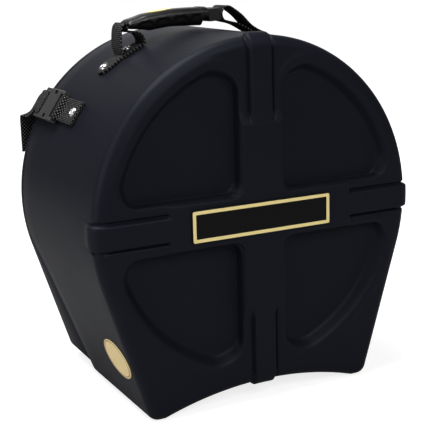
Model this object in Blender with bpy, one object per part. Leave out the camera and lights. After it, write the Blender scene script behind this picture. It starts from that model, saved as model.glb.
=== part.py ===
"""Moulded case for a drum: an outer front shell that slides over an inner rear shell.

The case stands on two foot strips. X runs across, +Y from the front face into the case and +Z up.
The origin is under the middle of the case, on the floor. Depths are measured from the front face, and
the frame of the case carries them to the origin. All sizes are in metres.
"""

import math

import bmesh
import bpy
from mathutils import Matrix, Vector

# Fits
TOUCH_GAP = 0.0003
OVERRUN = 0.005

# Outline of the case, seen from the front
RIM_RADIUS = 0.200
RIM_CENTRE_HEIGHT = 0.218
FOOT_HALF_SPREAD = 0.1423
FOOT_WIDTH = 0.0175
FOOT_LEAST_WIDTH = 0.0025
FOOT_ROUNDING = 0.0135
LEAST_ROUNDING = 0.0010
BELLY_RISE = 0.0196
ARC_STEPS = 22
WALL_STEPS = 6
CORNER_STEPS = 3
BELLY_STEPS = 6

# Shells, front to back
SHELL_WALL = 0.0040
RIM_FILLET = 0.0125
WALL_FLARE = 0.0029
FILLET_STEPS = 4
MOUTH_DEPTH = 0.2395
MOUTH_FOOT_DEPTH = 0.169
SLANT_TOP_HEIGHT = 0.180
SLANT_BEND_SHARE = 0.25
MOUTH_GAP = 0.0005
REAR_DEPTH = 0.2603
REAR_STEP = 0.0009
REAR_FOOT_RAISE = 0.0100
SLIDING_CLEARANCE = 0.0025
LIP_FRONT_DEPTH = 0.070

# Ribs, cross pads and recesses of the two faces
RIB_HALF_WIDTH = 0.0128
RIB_PROUD = 0.0034
RIB_DRAFT = 0.0008
RIB_ROOT_SHARE = 0.40
PAD_PROUD = 0.0040
PAD_HALF_WIDTH = 0.0253
PAD_SIDE_DRAFT = 0.0012
PAD_TALL_REACH = 0.104
PAD_TALL_SLOPE = 0.020
PAD_WIDE_REACH = 0.113
PAD_WIDE_SLOPE = 0.004
PAD_ROOT_SHARE = 0.55
RECESS_RIM_MARGIN = 0.0205
RECESS_SIDE = 0.0275
RECESS_DEPTH = 0.0120
RECESS_RIM_SLOPE = 0.0120
RECESS_SIDE_DRAFT = 0.0030
RECESS_TALL_ROUNDING = 0.030
RECESS_WIDE_ROUNDING = 0.023
RECESS_INNER_ROUNDING = 0.014
RECESS_ROOT_SHARE = 0.75
RECESS_ARC_STEPS = 8
RECESS_CORNER_STEPS = 4

# Badge plate on the cross pads, and the oval label near the left foot
BADGE_LENGTH = 0.176
BADGE_HEIGHT = 0.037
BADGE_CENTRE = -0.003
BADGE_THICKNESS = 0.0016
BADGE_ROUNDING = 0.0030
BADGE_BORDER_INSET = 0.0010
BADGE_BORDER_WIDTH = 0.0026
BADGE_BORDER_THICKNESS = 0.0006
LABEL_LENGTH = 0.068
LABEL_HEIGHT = 0.0465
LABEL_THICKNESS = 0.0010
LABEL_DEPTH = 0.0465
LABEL_HEIGHT_UP_WALL = 0.0665
LABEL_STEPS = 32

# Webbing
WEB_WIDTH = 0.0295
WEB_THICKNESS = 0.0018
DOUBLED_THICKNESS = 0.0034

# Rivets
RIVET_HEAD_RADIUS = 0.0058
RIVET_HEAD_HEIGHT = 0.0024
RIVET_SHANK_RADIUS = 0.0019
RIVET_HOLE_RADIUS = 0.0022
RIVET_TAIL = 0.0006
RIVET_STEPS = 14
WASHER_RADIUS = 0.0055
WASHER_THICKNESS = 0.0009

# Handle
HANDLE_DEPTH = 0.1465
HANDLE_WEB_WIDTH = 0.030
ANCHOR_OUTER_ANGLE = 129.8
ANCHOR_OUTER_RIVET_ANGLE = 127.0
ANCHOR_LOOP_ANGLE = 120.3
ANCHOR_INNER_RIVET_ANGLE = 117.5
ANCHOR_INNER_ANGLE = 113.2
LOOP_FOOT_LIFT = 0.0017
LOOP_FOOT_SETBACK = 0.0015
HANDLE_AXIS_DROP = 0.0120
GRIP_LENGTH = 0.102
GRIP_WIDTH = 0.030
GRIP_HEIGHT = 0.0206
GRIP_CENTRE_X = -0.0450
GRIP_RISE = 0.0282
GRIP_TILT = 5.1
GRIP_ARCH = 0.0018
CORE_WIDTH = 0.0215
CORE_THICKNESS = 0.0074
CORE_STUB = 0.0010
CORE_TONGUE = 0.0165
TONGUE_THICKNESS = 0.0150
TONGUE_DROP = 0.0015
GROOVE_COUNT = 4
GROOVE_SHARE = 0.16
GRIP_BADGE_LENGTH = 0.032
GRIP_BADGE_WIDTH = 0.015
GRIP_BADGE_THICKNESS = 0.0012
GRIP_BADGE_OFFSET = -0.0060
GRIP_STATIONS = 25
GRIP_SIDES = 16

# Buckles
BUCKLE_ANGLE = 145.3
BUCKLE_SEAM_SETBACK = 0.0297
BUCKLE_WIDTH = 0.039
BUCKLE_HEIGHT = 0.0095
BUCKLE_LIFT = 0.0012
BUCKLE_SKIN = 0.0016
BUCKLE_EASING = 0.0010
HOUSING_LENGTH = 0.0413
SOCKET_DEPTH = 0.027
SOCKET_HALF_WIDTH = 0.0171
BAR_THICKNESS = 0.0040
BAR_DEPTH = 0.0035
SLOT_DEPTH = 0.0050
SLOT_HALF_WIDTH = 0.0152
WINDOW_FRONT = 0.0110
WINDOW_REAR = 0.0210
WINDOW_SILL = 0.0024
TOP_WINDOW_INSET = 0.0012
TOP_WINDOW_WIDTH = 0.0050
FLANGE_DEPTH = 0.0030
LADDER_LENGTH = 0.0267
LADDER_THICKNESS = 0.0050
LADDER_SLOT = 0.0050
LADDER_REAR_BAR = 0.0035
TONGUE_LENGTH = 0.0230
TONGUE_HALF_WIDTH = 0.0040
TONGUE_HEIGHT = 0.0044
PRONG_LENGTH = 0.0220
PRONG_HEIGHT = 0.0040
PRONG_PIVOT_X = 0.0122

# Buckle webbing
TAB_RIVET_REACH = 0.0357
TAB_END_MARGIN = 0.0108
STRAP_RIVET_INSET = 0.052
STRAP_END_INSET = 0.064
TAIL_RIDGE_REACH = 0.0515
TAIL_RIDGE_HEIGHT = 0.0042
TAIL_DRIFT = 0.0102
TAIL_STANDOFF = 0.0098
TAIL_LENGTH = 0.055


# Places worked out from the sizes

def tangent_angle():
    """Angle about the rim's centre at which the straight walls leave the round rim, on the right."""
    reach = math.hypot(FOOT_HALF_SPREAD, RIM_CENTRE_HEIGHT)
    return math.acos(RIM_RADIUS / reach) - math.atan2(RIM_CENTRE_HEIGHT, FOOT_HALF_SPREAD)


def front_most():
    """Distance by which the badge's border stands in front of the front face."""
    plate = PAD_PROUD + TOUCH_GAP + BADGE_THICKNESS
    return plate + TOUCH_GAP + BADGE_BORDER_THICKNESS


def wall_radius(depth):
    """Radius of the round wall, which widens evenly from the front face to the mouth."""
    return RIM_RADIUS + WALL_FLARE * (depth - RIM_FILLET) / (MOUTH_DEPTH - RIM_FILLET)


TANGENT_ANGLE = tangent_angle()

# The recesses keep off the rim, and the grip stands over the crown
RECESS_RADIUS = RIM_RADIUS - RECESS_RIM_MARGIN
HANDLE_AXIS_HEIGHT = RIM_CENTRE_HEIGHT + RIM_RADIUS - HANDLE_AXIS_DROP
GRIP_CENTRE_HEIGHT = HANDLE_AXIS_HEIGHT + GRIP_RISE

# The buckles lie across the mouth, with their webbing before and behind them
BUCKLE_SEAM_DEPTH = MOUTH_DEPTH - BUCKLE_SEAM_SETBACK
TAB_RIVET_DEPTH = BUCKLE_SEAM_DEPTH - HOUSING_LENGTH - TAB_RIVET_REACH
TAB_FRONT_DEPTH = TAB_RIVET_DEPTH - TAB_END_MARGIN
TAIL_RIDGE_DEPTH = BUCKLE_SEAM_DEPTH + TAIL_RIDGE_REACH
WALL_DRAFT = math.atan2(WALL_FLARE, MOUTH_DEPTH - RIM_FILLET)
TAIL_HANG_DEPTH = TAIL_RIDGE_DEPTH + TAIL_STANDOFF
CENTRE_DEPTH = (TAIL_HANG_DEPTH + WEB_THICKNESS / 2 - front_most()) / 2
LIP_INSET = SHELL_WALL + SLIDING_CLEARANCE
LIP_FOOT_RAISE = max(REAR_FOOT_RAISE - REAR_STEP, 0)


# Small helpers

def clear_scene():
    """Remove every object that the scene starts with."""
    for item in list(bpy.data.objects):
        bpy.data.objects.remove(item)


def material(name, colour, roughness, metallic=0.0):
    """A plain Principled material."""
    made = bpy.data.materials.new(name)
    made.use_nodes = True
    shader = made.node_tree.nodes["Principled BSDF"]
    shader.inputs["Base Color"].default_value = (*colour, 1.0)
    shader.inputs["Roughness"].default_value = roughness
    shader.inputs["Metallic"].default_value = metallic
    return made


def empty(name, place, parent=None):
    """A frame that other pieces hang on; place is its matrix under its parent."""
    frame = bpy.data.objects.new(name, None)
    bpy.context.scene.collection.objects.link(frame)
    frame.parent = parent
    frame.matrix_local = place
    return frame


def piece(name, mesh, look=None, parent=None, place=None):
    """An object made of a bmesh, shaded smooth with its edges kept sharp."""
    bmesh.ops.remove_doubles(mesh, verts=mesh.verts, dist=TOUCH_GAP / 100)
    bmesh.ops.recalc_face_normals(mesh, faces=mesh.faces)
    data = bpy.data.meshes.new(name)
    mesh.to_mesh(data)
    mesh.free()
    data.shade_smooth()
    data.set_sharp_from_angle(angle=math.radians(35))
    made = bpy.data.objects.new(name, data)
    bpy.context.scene.collection.objects.link(made)
    if look:
        data.materials.append(look)
    made.parent = parent
    made.matrix_local = place or Matrix.Identity(4)
    return made


def cutter(name, mesh, parent=None, place=None):
    """A piece that only shapes another one."""
    made = piece(name, mesh, None, parent, place)
    made.hide_render = True
    made.display_type = "WIRE"
    return made


def combine(target, tool, operation):
    """Join a tool to a piece or cut it away, by an exact Boolean."""
    step = target.modifiers.new(tool.name, "BOOLEAN")
    step.operation = operation
    step.solver = "EXACT"
    step.object = tool


def loft(rings, mesh=None):
    """A closed body through rings of equally many points, capped at both ends."""
    mesh = mesh or bmesh.new()
    rows = [[mesh.verts.new(point) for point in ring] for ring in rings]
    for near, far in zip(rows, rows[1:]):
        for here in range(len(near)):
            after = (here + 1) % len(near)
            mesh.faces.new((near[here], near[after], far[after], far[here]))
    mesh.faces.new(rows[0])
    mesh.faces.new(rows[-1])
    return mesh


def box(low, high, mesh=None):
    """A block between two corners."""
    (x0, y0, z0), (x1, y1, z1) = low, high
    base = [(x0, y0), (x1, y0), (x1, y1), (x0, y1)]
    return loft([[(x, y, z) for x, y in base] for z in (z0, z1)], mesh)


def eased(mesh, width):
    """Bevel every edge of a mesh by a small width."""
    bmesh.ops.recalc_face_normals(mesh, faces=mesh.faces)
    bmesh.ops.bevel(
        mesh, geom=mesh.edges[:], offset=width, segments=1, affect="EDGES", profile=0.5
    )
    return mesh


def arc(centre, radius, start, end, steps):
    """Points on a circle between two angles, both ends included."""
    turn = (end - start) / steps
    angles = [start + turn * step for step in range(steps + 1)]
    return [(centre[0] + radius * math.cos(a), centre[1] + radius * math.sin(a)) for a in angles]


def fillet(before, corner, after, radius, steps):
    """Points that round the corner of an outline."""
    here = Vector(corner)
    first = (Vector(before) - here).normalized()
    last = (Vector(after) - here).normalized()
    half = first.angle(last) / 2
    centre = here + (first + last).normalized() * (radius / math.sin(half))
    start = here + first * (radius / math.tan(half)) - centre
    end = here + last * (radius / math.tan(half)) - centre
    turn = start.angle(end)
    points = []
    for step in range(steps + 1):
        share = step / steps
        mixed = start * math.sin((1 - share) * turn) + end * math.sin(share * turn)
        points.append(tuple(centre + mixed / math.sin(turn)))
    return points


def ellipse(length, height, steps):
    """Points of an oval, its length along the first axis."""
    angles = [math.tau * step / steps for step in range(steps)]
    return [(length / 2 * math.cos(a), height / 2 * math.sin(a)) for a in angles]


def rounded_rectangle(length, height, radius, steps):
    """Points of a rectangle with round corners, about its centre."""
    points = []
    for quarter in range(4):
        start = quarter * math.pi / 2
        side_x = 1 if quarter in (0, 3) else -1
        side_y = 1 if quarter < 2 else -1
        centre = (side_x * (length / 2 - radius), side_y * (height / 2 - radius))
        points += arc(centre, radius, start, start + math.pi / 2, steps)
    return points


def plate(points, low, high, mesh=None):
    """A flat outline in the XY plane raised from one height to another."""
    return loft([[(x, y, z) for x, y in points] for z in (low, high)], mesh)


def smooth_route(points, steps):
    """A smooth curve through points, by the Catmull-Rom rule."""
    route = [Vector(point) for point in points]
    ends = [route[0] * 2 - route[1], *route, route[-1] * 2 - route[-2]]
    made = []
    for index in range(len(route) - 1):
        a, b, c, d = ends[index : index + 4]
        for step in range(steps):
            t = step / steps
            curve = b * 2 + (c - a) * t
            curve += (a * 2 - b * 5 + c * 4 - d) * t**2
            curve += (b * 3 - a - c * 3 + d) * t**3
            made.append(curve / 2)
    made.append(route[-1])
    return made


def ribbon(route, across, widths, thickness, mesh=None):
    """Webbing along a route: a flat strip with its own width direction and width at each point."""
    rings = []
    for index, point in enumerate(route):
        before = route[max(index - 1, 0)]
        after = route[min(index + 1, len(route) - 1)]
        side = across[index].normalized()
        up = (after - before).normalized().cross(side).normalized() * (thickness / 2)
        side = side * (widths[index] / 2)
        rings.append([point - side - up, point + side - up, point + side + up, point - side + up])
    return loft(rings, mesh)


def even(count, value):
    """The same value for every point of a route."""
    return [value] * count


def lathe(profile, steps, mesh=None, closed=False):
    """Turn a profile of (radius, height) points about Z; a closed one makes a ring."""
    mesh = mesh or bmesh.new()
    rows = []
    for step in range(steps):
        angle = math.tau * step / steps
        rows.append([mesh.verts.new((r * math.cos(angle), r * math.sin(angle), z)) for r, z in profile])
    spans = len(profile) if closed else len(profile) - 1
    for step in range(steps):
        near, far = rows[step], rows[(step + 1) % steps]
        for index in range(spans):
            nxt = (index + 1) % len(profile)
            mesh.faces.new((near[index], near[nxt], far[nxt], far[index]))
    if not closed:
        mesh.faces.new([row[0] for row in rows])
        mesh.faces.new([row[-1] for row in rows])
    return mesh


# Frames

def wall_frame(angle, depth, radius):
    """Frame on the round wall: X towards smaller angles, Y into the case, Z straight out."""
    turn = math.radians(angle)
    out = Vector((math.cos(turn), 0, math.sin(turn)))
    along = Vector((math.sin(turn), 0, -math.cos(turn)))
    place = Matrix((along, Vector((0, 1, 0)), out)).transposed().to_4x4()
    place.translation = Vector((0, depth, RIM_CENTRE_HEIGHT)) + out * radius
    return place


# The two shells

def outline(inset, foot_height):
    """Points (x, z) round the case, a given distance inside its skin, starting at the top."""
    radius = RIM_RADIUS - inset
    normal = (math.cos(TANGENT_ANGLE), math.sin(TANGENT_ANGLE))

    def on_wall(height):
        return (radius - normal[1] * (height - RIM_CENTRE_HEIGHT)) / normal[0]

    rim = arc((0, RIM_CENTRE_HEIGHT), radius, math.pi / 2, TANGENT_ANGLE, ARC_STEPS)
    heel = (on_wall(foot_height), foot_height)
    belly_height = BELLY_RISE + inset
    rise = BELLY_RISE
    spread = FOOT_HALF_SPREAD - FOOT_WIDTH
    belly_radius = (spread**2 + rise**2) / (2 * rise) + inset
    centre_height = belly_height - belly_radius
    drop = belly_radius**2 - (foot_height - centre_height) ** 2
    toe_x = min(math.sqrt(max(drop, 0)), heel[0] - FOOT_LEAST_WIDTH)
    rounding = max(FOOT_ROUNDING - inset, LEAST_ROUNDING)
    corner = fillet(rim[-1], heel, (toe_x, foot_height), rounding, CORNER_STEPS)
    top, bottom = rim[-1], corner[0]
    wall = []
    for step in range(1, WALL_STEPS):
        share = step / WALL_STEPS
        wall.append((top[0] + (bottom[0] - top[0]) * share, top[1] + (bottom[1] - top[1]) * share))
    sagitta = belly_height - foot_height
    toe_radius = (toe_x**2 + sagitta**2) / (2 * sagitta)
    belly_centre = (0, belly_height - toe_radius)
    toe_angle = math.atan2(foot_height - belly_centre[1], toe_x)
    belly = arc(belly_centre, toe_radius, toe_angle, math.pi / 2, BELLY_STEPS)
    half = rim + wall + corner + belly
    return half + [(-x, z) for x, z in reversed(half[1:-1])]


def mouth_depth(height):
    """Depth of the front shell's edge at a height: slanted beside the feet, square round the rim."""
    share = min(max(height, 0) / SLANT_TOP_HEIGHT, 1)
    bent = share * (1 - SLANT_BEND_SHARE) + share**3 * SLANT_BEND_SHARE
    return MOUTH_FOOT_DEPTH + (MOUTH_DEPTH - MOUTH_FOOT_DEPTH) * bent


def ring(inset, foot_height, depth):
    """An outline at a depth."""
    return [(x, depth, z) for x, z in outline(inset, foot_height)]


def mouth_ring(inset, foot_height, extra):
    """An outline that follows the slanted mouth, further back by extra."""
    return [(x, mouth_depth(z) + extra, z) for x, z in outline(inset, foot_height)]


def fillet_rings(inset, foot_height, face_depth, into, radius):
    """Outlines round the face's edge, from the face to the wall; into is 1 or -1 along depth."""
    rings = []
    for step in range(FILLET_STEPS + 1):
        turn = math.pi / 2 * step / FILLET_STEPS
        pulled = radius * (1 - math.sin(turn))
        depth = face_depth + into * radius * (1 - math.cos(turn))
        rings.append(ring(inset + pulled, foot_height + pulled, depth))
    return rings


def front_shell_mesh():
    """Outer shell: face, round edge, wall to the slanted mouth, and the same again inside."""
    skin = fillet_rings(0, 0, 0, 1, RIM_FILLET)
    skin.append(mouth_ring(-WALL_FLARE, 0, 0))
    inner_fillet = RIM_FILLET - SHELL_WALL
    inside = fillet_rings(SHELL_WALL, SHELL_WALL, SHELL_WALL, 1, inner_fillet)
    inside.append(mouth_ring(SHELL_WALL - WALL_FLARE, SHELL_WALL, 0))
    return loft(skin + inside[::-1])


def rear_shell_mesh():
    """Inner shell: rear face, band that shows, shoulder at the mouth, and the sliding lip."""
    band_foot = REAR_FOOT_RAISE
    lip_foot = REAR_FOOT_RAISE + LIP_FOOT_RAISE
    band = REAR_STEP - WALL_FLARE
    lip_rear = LIP_INSET - WALL_FLARE
    lip_front = LIP_INSET + RIM_RADIUS - wall_radius(LIP_FRONT_DEPTH)
    skin = fillet_rings(band, band_foot, REAR_DEPTH, -1, RIM_FILLET)
    skin.append(mouth_ring(band, band_foot, MOUTH_GAP))
    skin.append(mouth_ring(lip_rear, lip_foot, MOUTH_GAP))
    skin.append(ring(lip_front, lip_foot, LIP_FRONT_DEPTH))
    inner_fillet = RIM_FILLET - SHELL_WALL
    inner_foot = band_foot + SHELL_WALL
    lip_inner_foot = lip_foot + SHELL_WALL
    inside = fillet_rings(band + SHELL_WALL, inner_foot, REAR_DEPTH - SHELL_WALL, -1, inner_fillet)
    inside.append(mouth_ring(band + SHELL_WALL, inner_foot, MOUTH_GAP + SHELL_WALL))
    inside.append(mouth_ring(lip_rear + SHELL_WALL, lip_inner_foot, MOUTH_GAP + SHELL_WALL))
    inside.append(ring(lip_front + SHELL_WALL, lip_inner_foot, LIP_FRONT_DEPTH))
    return loft(skin + inside[::-1])


def rib_mesh(half_length, start, turned_over):
    """Half a rib along +X on the face, ending on its flat or turned over the rim; Y is depth."""
    root = SHELL_WALL * RIB_ROOT_SHARE
    edge = half_length - RIM_FILLET

    def profile(raised):
        if not turned_over:
            return [(start, -raised), (edge - max(raised, 0), -raised)]
        crest = arc((edge, RIM_FILLET), RIM_FILLET + raised, -math.pi / 2, 0, FILLET_STEPS)
        return [(start, -raised), *crest]

    wide = RIB_HALF_WIDTH + RIB_DRAFT
    sections = []
    for (bx, by), (tx, ty), (rx, ry) in zip(profile(0), profile(RIB_PROUD), profile(-root)):
        sections.append(
            [
                (rx, ry, -wide),
                (bx, by, -wide),
                (tx, ty, -RIB_HALF_WIDTH),
                (tx, ty, RIB_HALF_WIDTH),
                (bx, by, wide),
                (rx, ry, wide),
            ]
        )
    return loft(sections)


def pad_outline(extra, tall_slope, wide_slope):
    """Plus-shaped outline of the cross pads; extra widens the arms, the slopes lengthen them."""
    half = PAD_HALF_WIDTH + extra
    wide = PAD_WIDE_REACH + wide_slope
    tall = PAD_TALL_REACH + tall_slope
    quarter = [(wide, half), (half, half), (half, tall)]
    points = []
    for sign_x, sign_z, order in ((1, 1, 1), (-1, 1, -1), (-1, -1, 1), (1, -1, -1)):
        points += [(sign_x * x, sign_z * z) for x, z in quarter[::order]]
    return points


def pad_mesh():
    """The cross pads, a low plus with a long slope at the top and bottom ends."""
    root = SHELL_WALL * PAD_ROOT_SHARE
    grow = (PAD_PROUD + root) / PAD_PROUD
    base = pad_outline(PAD_SIDE_DRAFT * grow, PAD_TALL_SLOPE * grow, PAD_WIDE_SLOPE * grow)
    crown = pad_outline(0, 0, 0)
    return loft([[(x, root, z) for x, z in base], [(x, -PAD_PROUD, z) for x, z in crown]])


def wedge(radius, side, rounding_drop):
    """A quarter of a disc beside the cross, with round corners, in the first quadrant."""
    tall = RECESS_TALL_ROUNDING - rounding_drop
    wide = RECESS_WIDE_ROUNDING - rounding_drop
    inner = RECESS_INNER_ROUNDING - rounding_drop
    tall_centre = (side + tall, math.sqrt((radius - tall) ** 2 - (side + tall) ** 2))
    wide_centre = (math.sqrt((radius - wide) ** 2 - (side + wide) ** 2), side + wide)
    tall_angle = math.atan2(tall_centre[1], tall_centre[0])
    wide_angle = math.atan2(wide_centre[1], wide_centre[0])
    points = arc((0, 0), radius, wide_angle, tall_angle, RECESS_ARC_STEPS)
    points += arc(tall_centre, tall, tall_angle, math.pi, RECESS_CORNER_STEPS)[1:]
    points += arc((side + inner, side + inner), inner, math.pi, math.pi * 1.5, RECESS_CORNER_STEPS)
    points += arc(wide_centre, wide, -math.pi / 2, wide_angle, RECESS_CORNER_STEPS)[:-1]
    return points


def quadrants(rings_of):
    """Four copies of a lofted wedge, one in each quadrant, in one mesh."""
    mesh = bmesh.new()
    for sign_x in (1, -1):
        for sign_z in (1, -1):
            loft([[(sign_x * x, y, sign_z * z) for x, z in points] for points, y in rings_of], mesh)
    return mesh


def recess_mesh():
    """What the four recesses take away."""
    mouth = wedge(RECESS_RADIUS, RECESS_SIDE, 0)
    floor = wedge(
        RECESS_RADIUS - RECESS_RIM_SLOPE, RECESS_SIDE + RECESS_SIDE_DRAFT, RECESS_SIDE_DRAFT
    )
    return quadrants([(mouth, -PAD_PROUD - OVERRUN), (mouth, 0), (floor, RECESS_DEPTH)])


def backing_mesh():
    """The wall that carries each recess inside the shell."""
    mouth = wedge(RECESS_RADIUS + SHELL_WALL, RECESS_SIDE - SHELL_WALL, -SHELL_WALL)
    floor = wedge(
        RECESS_RADIUS - RECESS_RIM_SLOPE + SHELL_WALL,
        RECESS_SIDE + RECESS_SIDE_DRAFT - SHELL_WALL,
        RECESS_SIDE_DRAFT - SHELL_WALL,
    )
    start = SHELL_WALL * RECESS_ROOT_SHARE
    return quadrants([(mouth, start), (floor, RECESS_DEPTH + SHELL_WALL)])


def face_frame(depth, into):
    """Frame of a moulded face about the rim's centre; the rear one is mirrored along depth."""
    place = Matrix.Diagonal((1, into, 1, 1))
    place.translation = Vector((0, depth, RIM_CENTRE_HEIGHT))
    return place


def mirrored(mesh, place):
    """Carry a mesh into a frame that may be mirrored."""
    bmesh.ops.transform(mesh, matrix=place, verts=mesh.verts)
    return mesh


def mould_face(shell, name, depth, into, step, parent):
    """Give a shell's face its ribs, cross pads and four recesses."""
    place = face_frame(depth, into)
    start = PAD_WIDE_REACH / 2
    top = RIM_RADIUS - step
    bottom = RIM_CENTRE_HEIGHT - BELLY_RISE - step
    arms = [("right", top, 0), ("top", top, 90), ("left", top, 180), ("bottom", bottom, 270)]
    tools = []
    for arm, reach, angle in arms:
        turn = Matrix.Rotation(math.radians(-angle), 4, "Y")
        mesh = mirrored(rib_mesh(reach, start, into > 0), place @ turn)
        tools.append((f"{name}_rib_{arm}", mesh, "UNION"))
    tools.append((f"{name}_pads", mirrored(pad_mesh(), place), "UNION"))
    tools.append((f"{name}_backings", mirrored(backing_mesh(), place), "UNION"))
    tools.append((f"{name}_recesses", mirrored(recess_mesh(), place), "DIFFERENCE"))
    for tool_name, mesh, operation in tools:
        combine(shell, cutter(tool_name, mesh, parent), operation)


# Rivets and their holes

def rivet_mesh(grip):
    """Domed head at height 0 and above, with a shank of the length that it holds together."""
    side = math.radians(18)
    end = -grip - WASHER_THICKNESS - 2 * TOUCH_GAP - RIVET_TAIL
    dome = [(RIVET_HEAD_RADIUS * math.cos(a), RIVET_HEAD_HEIGHT * math.sin(a)) for a in
            (math.radians(72), math.radians(45), side)]
    profile = [(RIVET_SHANK_RADIUS, end), (RIVET_SHANK_RADIUS, 0), (RIVET_HEAD_RADIUS, 0)]
    return lathe(profile + dome[::-1], RIVET_STEPS)


def washer_mesh():
    """Flat ring, its top at height 0."""
    profile = [
        (RIVET_HOLE_RADIUS, 0),
        (WASHER_RADIUS, 0),
        (WASHER_RADIUS, -WASHER_THICKNESS),
        (RIVET_HOLE_RADIUS, -WASHER_THICKNESS),
    ]
    return lathe(profile, RIVET_STEPS, closed=True)


def hole_mesh(low, high):
    """Cutter for a rivet's hole."""
    return lathe([(RIVET_HOLE_RADIUS, low), (RIVET_HOLE_RADIUS, high)], RIVET_STEPS)


def rivet(name, place, stack, wall, looks, parent, held):
    """A rivet, its washer, and its hole in each held piece; place lies on the wall's outer face."""
    head = place @ Matrix.Translation((0, 0, stack))
    piece(name, rivet_mesh(stack + wall), looks["rivet_steel"], parent, head)
    seat = place @ Matrix.Translation((0, 0, -wall - TOUCH_GAP))
    piece(f"{name}_washer", washer_mesh(), looks["rivet_steel"], parent, seat)
    reach = wall + OVERRUN / 2
    for index, target in enumerate(held):
        hole = cutter(f"{name}_hole_{index}", hole_mesh(-reach, stack + OVERRUN), parent, place)
        combine(target, hole, "DIFFERENCE")


# Handle

def rim_point(angle, lift):
    """A point in the handle's plane, a height above the round wall."""
    turn = math.radians(angle)
    radius = wall_radius(HANDLE_DEPTH) + lift
    return Vector(
        (radius * math.cos(turn), HANDLE_DEPTH, RIM_CENTRE_HEIGHT + radius * math.sin(turn))
    )


def round_end(half_width, steps=4):
    """Distance from the tip and width of stations that round a strip's end."""
    start = math.radians(22)
    angles = [start + (math.pi / 2 - start) * step / (steps - 1) for step in range(steps)]
    return [(half_width * (1 - math.cos(a)), 2 * half_width * math.sin(a)) for a in angles]


def anchor_mesh(side):
    """Doubled webbing flat on the wall, round at its outer end; side is -1 on the left."""
    lift = TOUCH_GAP + DOUBLED_THICKNESS / 2
    radius = wall_radius(HANDLE_DEPTH) + lift
    stations = [(math.degrees(away / radius), width) for away, width in round_end(HANDLE_WEB_WIDTH / 2)]
    sweep = ANCHOR_OUTER_ANGLE - ANCHOR_INNER_ANGLE
    first = stations[-1][0]
    count = 8
    for step in range(1, count + 1):
        stations.append((first + (sweep - first) * step / count, HANDLE_WEB_WIDTH))
    route, widths = [], []
    for away, width in stations:
        angle = ANCHOR_OUTER_ANGLE - away
        route.append(rim_point(angle if side < 0 else 180 - angle, lift))
        widths.append(width)
    return ribbon(route, even(len(route), Vector((0, 1, 0))), widths, DOUBLED_THICKNESS)


def grip_place():
    """Frame of the grip: X along it, Z up from its middle."""
    turn = Matrix.Rotation(math.radians(-GRIP_TILT), 4, "Y")
    return Matrix.Translation((GRIP_CENTRE_X, HANDLE_DEPTH, GRIP_CENTRE_HEIGHT)) @ turn


def arch(along):
    """Height of the grip's middle line, a shallow arch that is straight past its ends."""
    half = GRIP_LENGTH / 2
    inside = max(-half, min(half, along))
    beyond = abs(along - inside)
    return GRIP_ARCH * (1 - (inside / half) ** 2) - GRIP_ARCH - beyond * GRIP_ARCH / half


# The grip's thickness along its length, as shares of its length and of half its height
GRIP_TOP_SHARES = (
    (0.0, 0.41), (0.03, 0.60), (0.13, 0.71), (0.22, 0.88), (0.53, 0.98), (0.80, 0.88), (0.91, 0.84),
    (0.92, 0.90), (1.0, 0.84)
)
GRIP_UNDER_SHARES = (
    (0.0, 0.41), (0.13, 0.70), (0.22, 0.89), (0.28, 1.09), (0.53, 1.02), (0.80, 1.22), (0.92, 1.29),
    (0.93, 0.80), (1.0, 0.76)
)


def at_share(table, share):
    """Read a table of shares between its rows."""
    for (low, first), (high, last) in zip(table, table[1:]):
        if share <= high:
            return first + (last - first) * (share - low) / (high - low)
    return table[-1][1]


def grip_mesh():
    """The grip: rounded sections along the arch, with finger grooves low on both sides."""
    rings = []
    for station in range(GRIP_STATIONS):
        share = station / (GRIP_STATIONS - 1)
        along = (share - 0.5) * GRIP_LENGTH
        top = at_share(GRIP_TOP_SHARES, share) * GRIP_HEIGHT / 2
        under = at_share(GRIP_UNDER_SHARES, share) * GRIP_HEIGHT / 2
        groove = abs(math.sin(math.pi * GROOVE_COUNT * share)) * GROOVE_SHARE
        points = []
        for side in range(GRIP_SIDES):
            angle = math.tau * side / GRIP_SIDES
            flat_y = math.copysign(abs(math.cos(angle)) ** 0.75, math.cos(angle))
            flat_z = math.copysign(abs(math.sin(angle)) ** 0.75, math.sin(angle))
            if flat_z < 0:
                flat_y *= 1 - groove
            height = flat_z * (top if flat_z > 0 else under)
            points.append((along, flat_y * GRIP_WIDTH / 2, arch(along) + height))
        rings.append(points)
    return loft(rings)


def core_mesh(extra):
    """Core bar through the grip, grown by extra for the bore that it lies in."""
    start = -GRIP_LENGTH / 2 - CORE_STUB
    end = GRIP_LENGTH / 2 + (OVERRUN if extra else TOUCH_GAP)
    half_y = CORE_WIDTH / 2 + extra
    half_z = CORE_THICKNESS / 2 + extra
    steps = 8
    rings = []
    for step in range(steps + 1):
        along = start + (end - start) * step / steps - (OVERRUN if extra and step == 0 else 0)
        z = arch(along)
        rings.append(
            [
                (along, -half_y, z - half_z),
                (along, half_y, z - half_z),
                (along, half_y, z + half_z),
                (along, -half_y, z + half_z),
            ]
        )
    if not extra:
        half_y = GRIP_WIDTH / 2 - TOUCH_GAP
        half_z = TONGUE_THICKNESS / 2
        for along in (end, end + CORE_TONGUE):
            z = arch(along) - TONGUE_DROP
            rings.append(
                [
                    (along, -half_y, z - half_z),
                    (along, half_y, z - half_z),
                    (along, half_y, z + half_z),
                    (along, -half_y, z + half_z),
                ]
            )
    return loft(rings)


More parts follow.
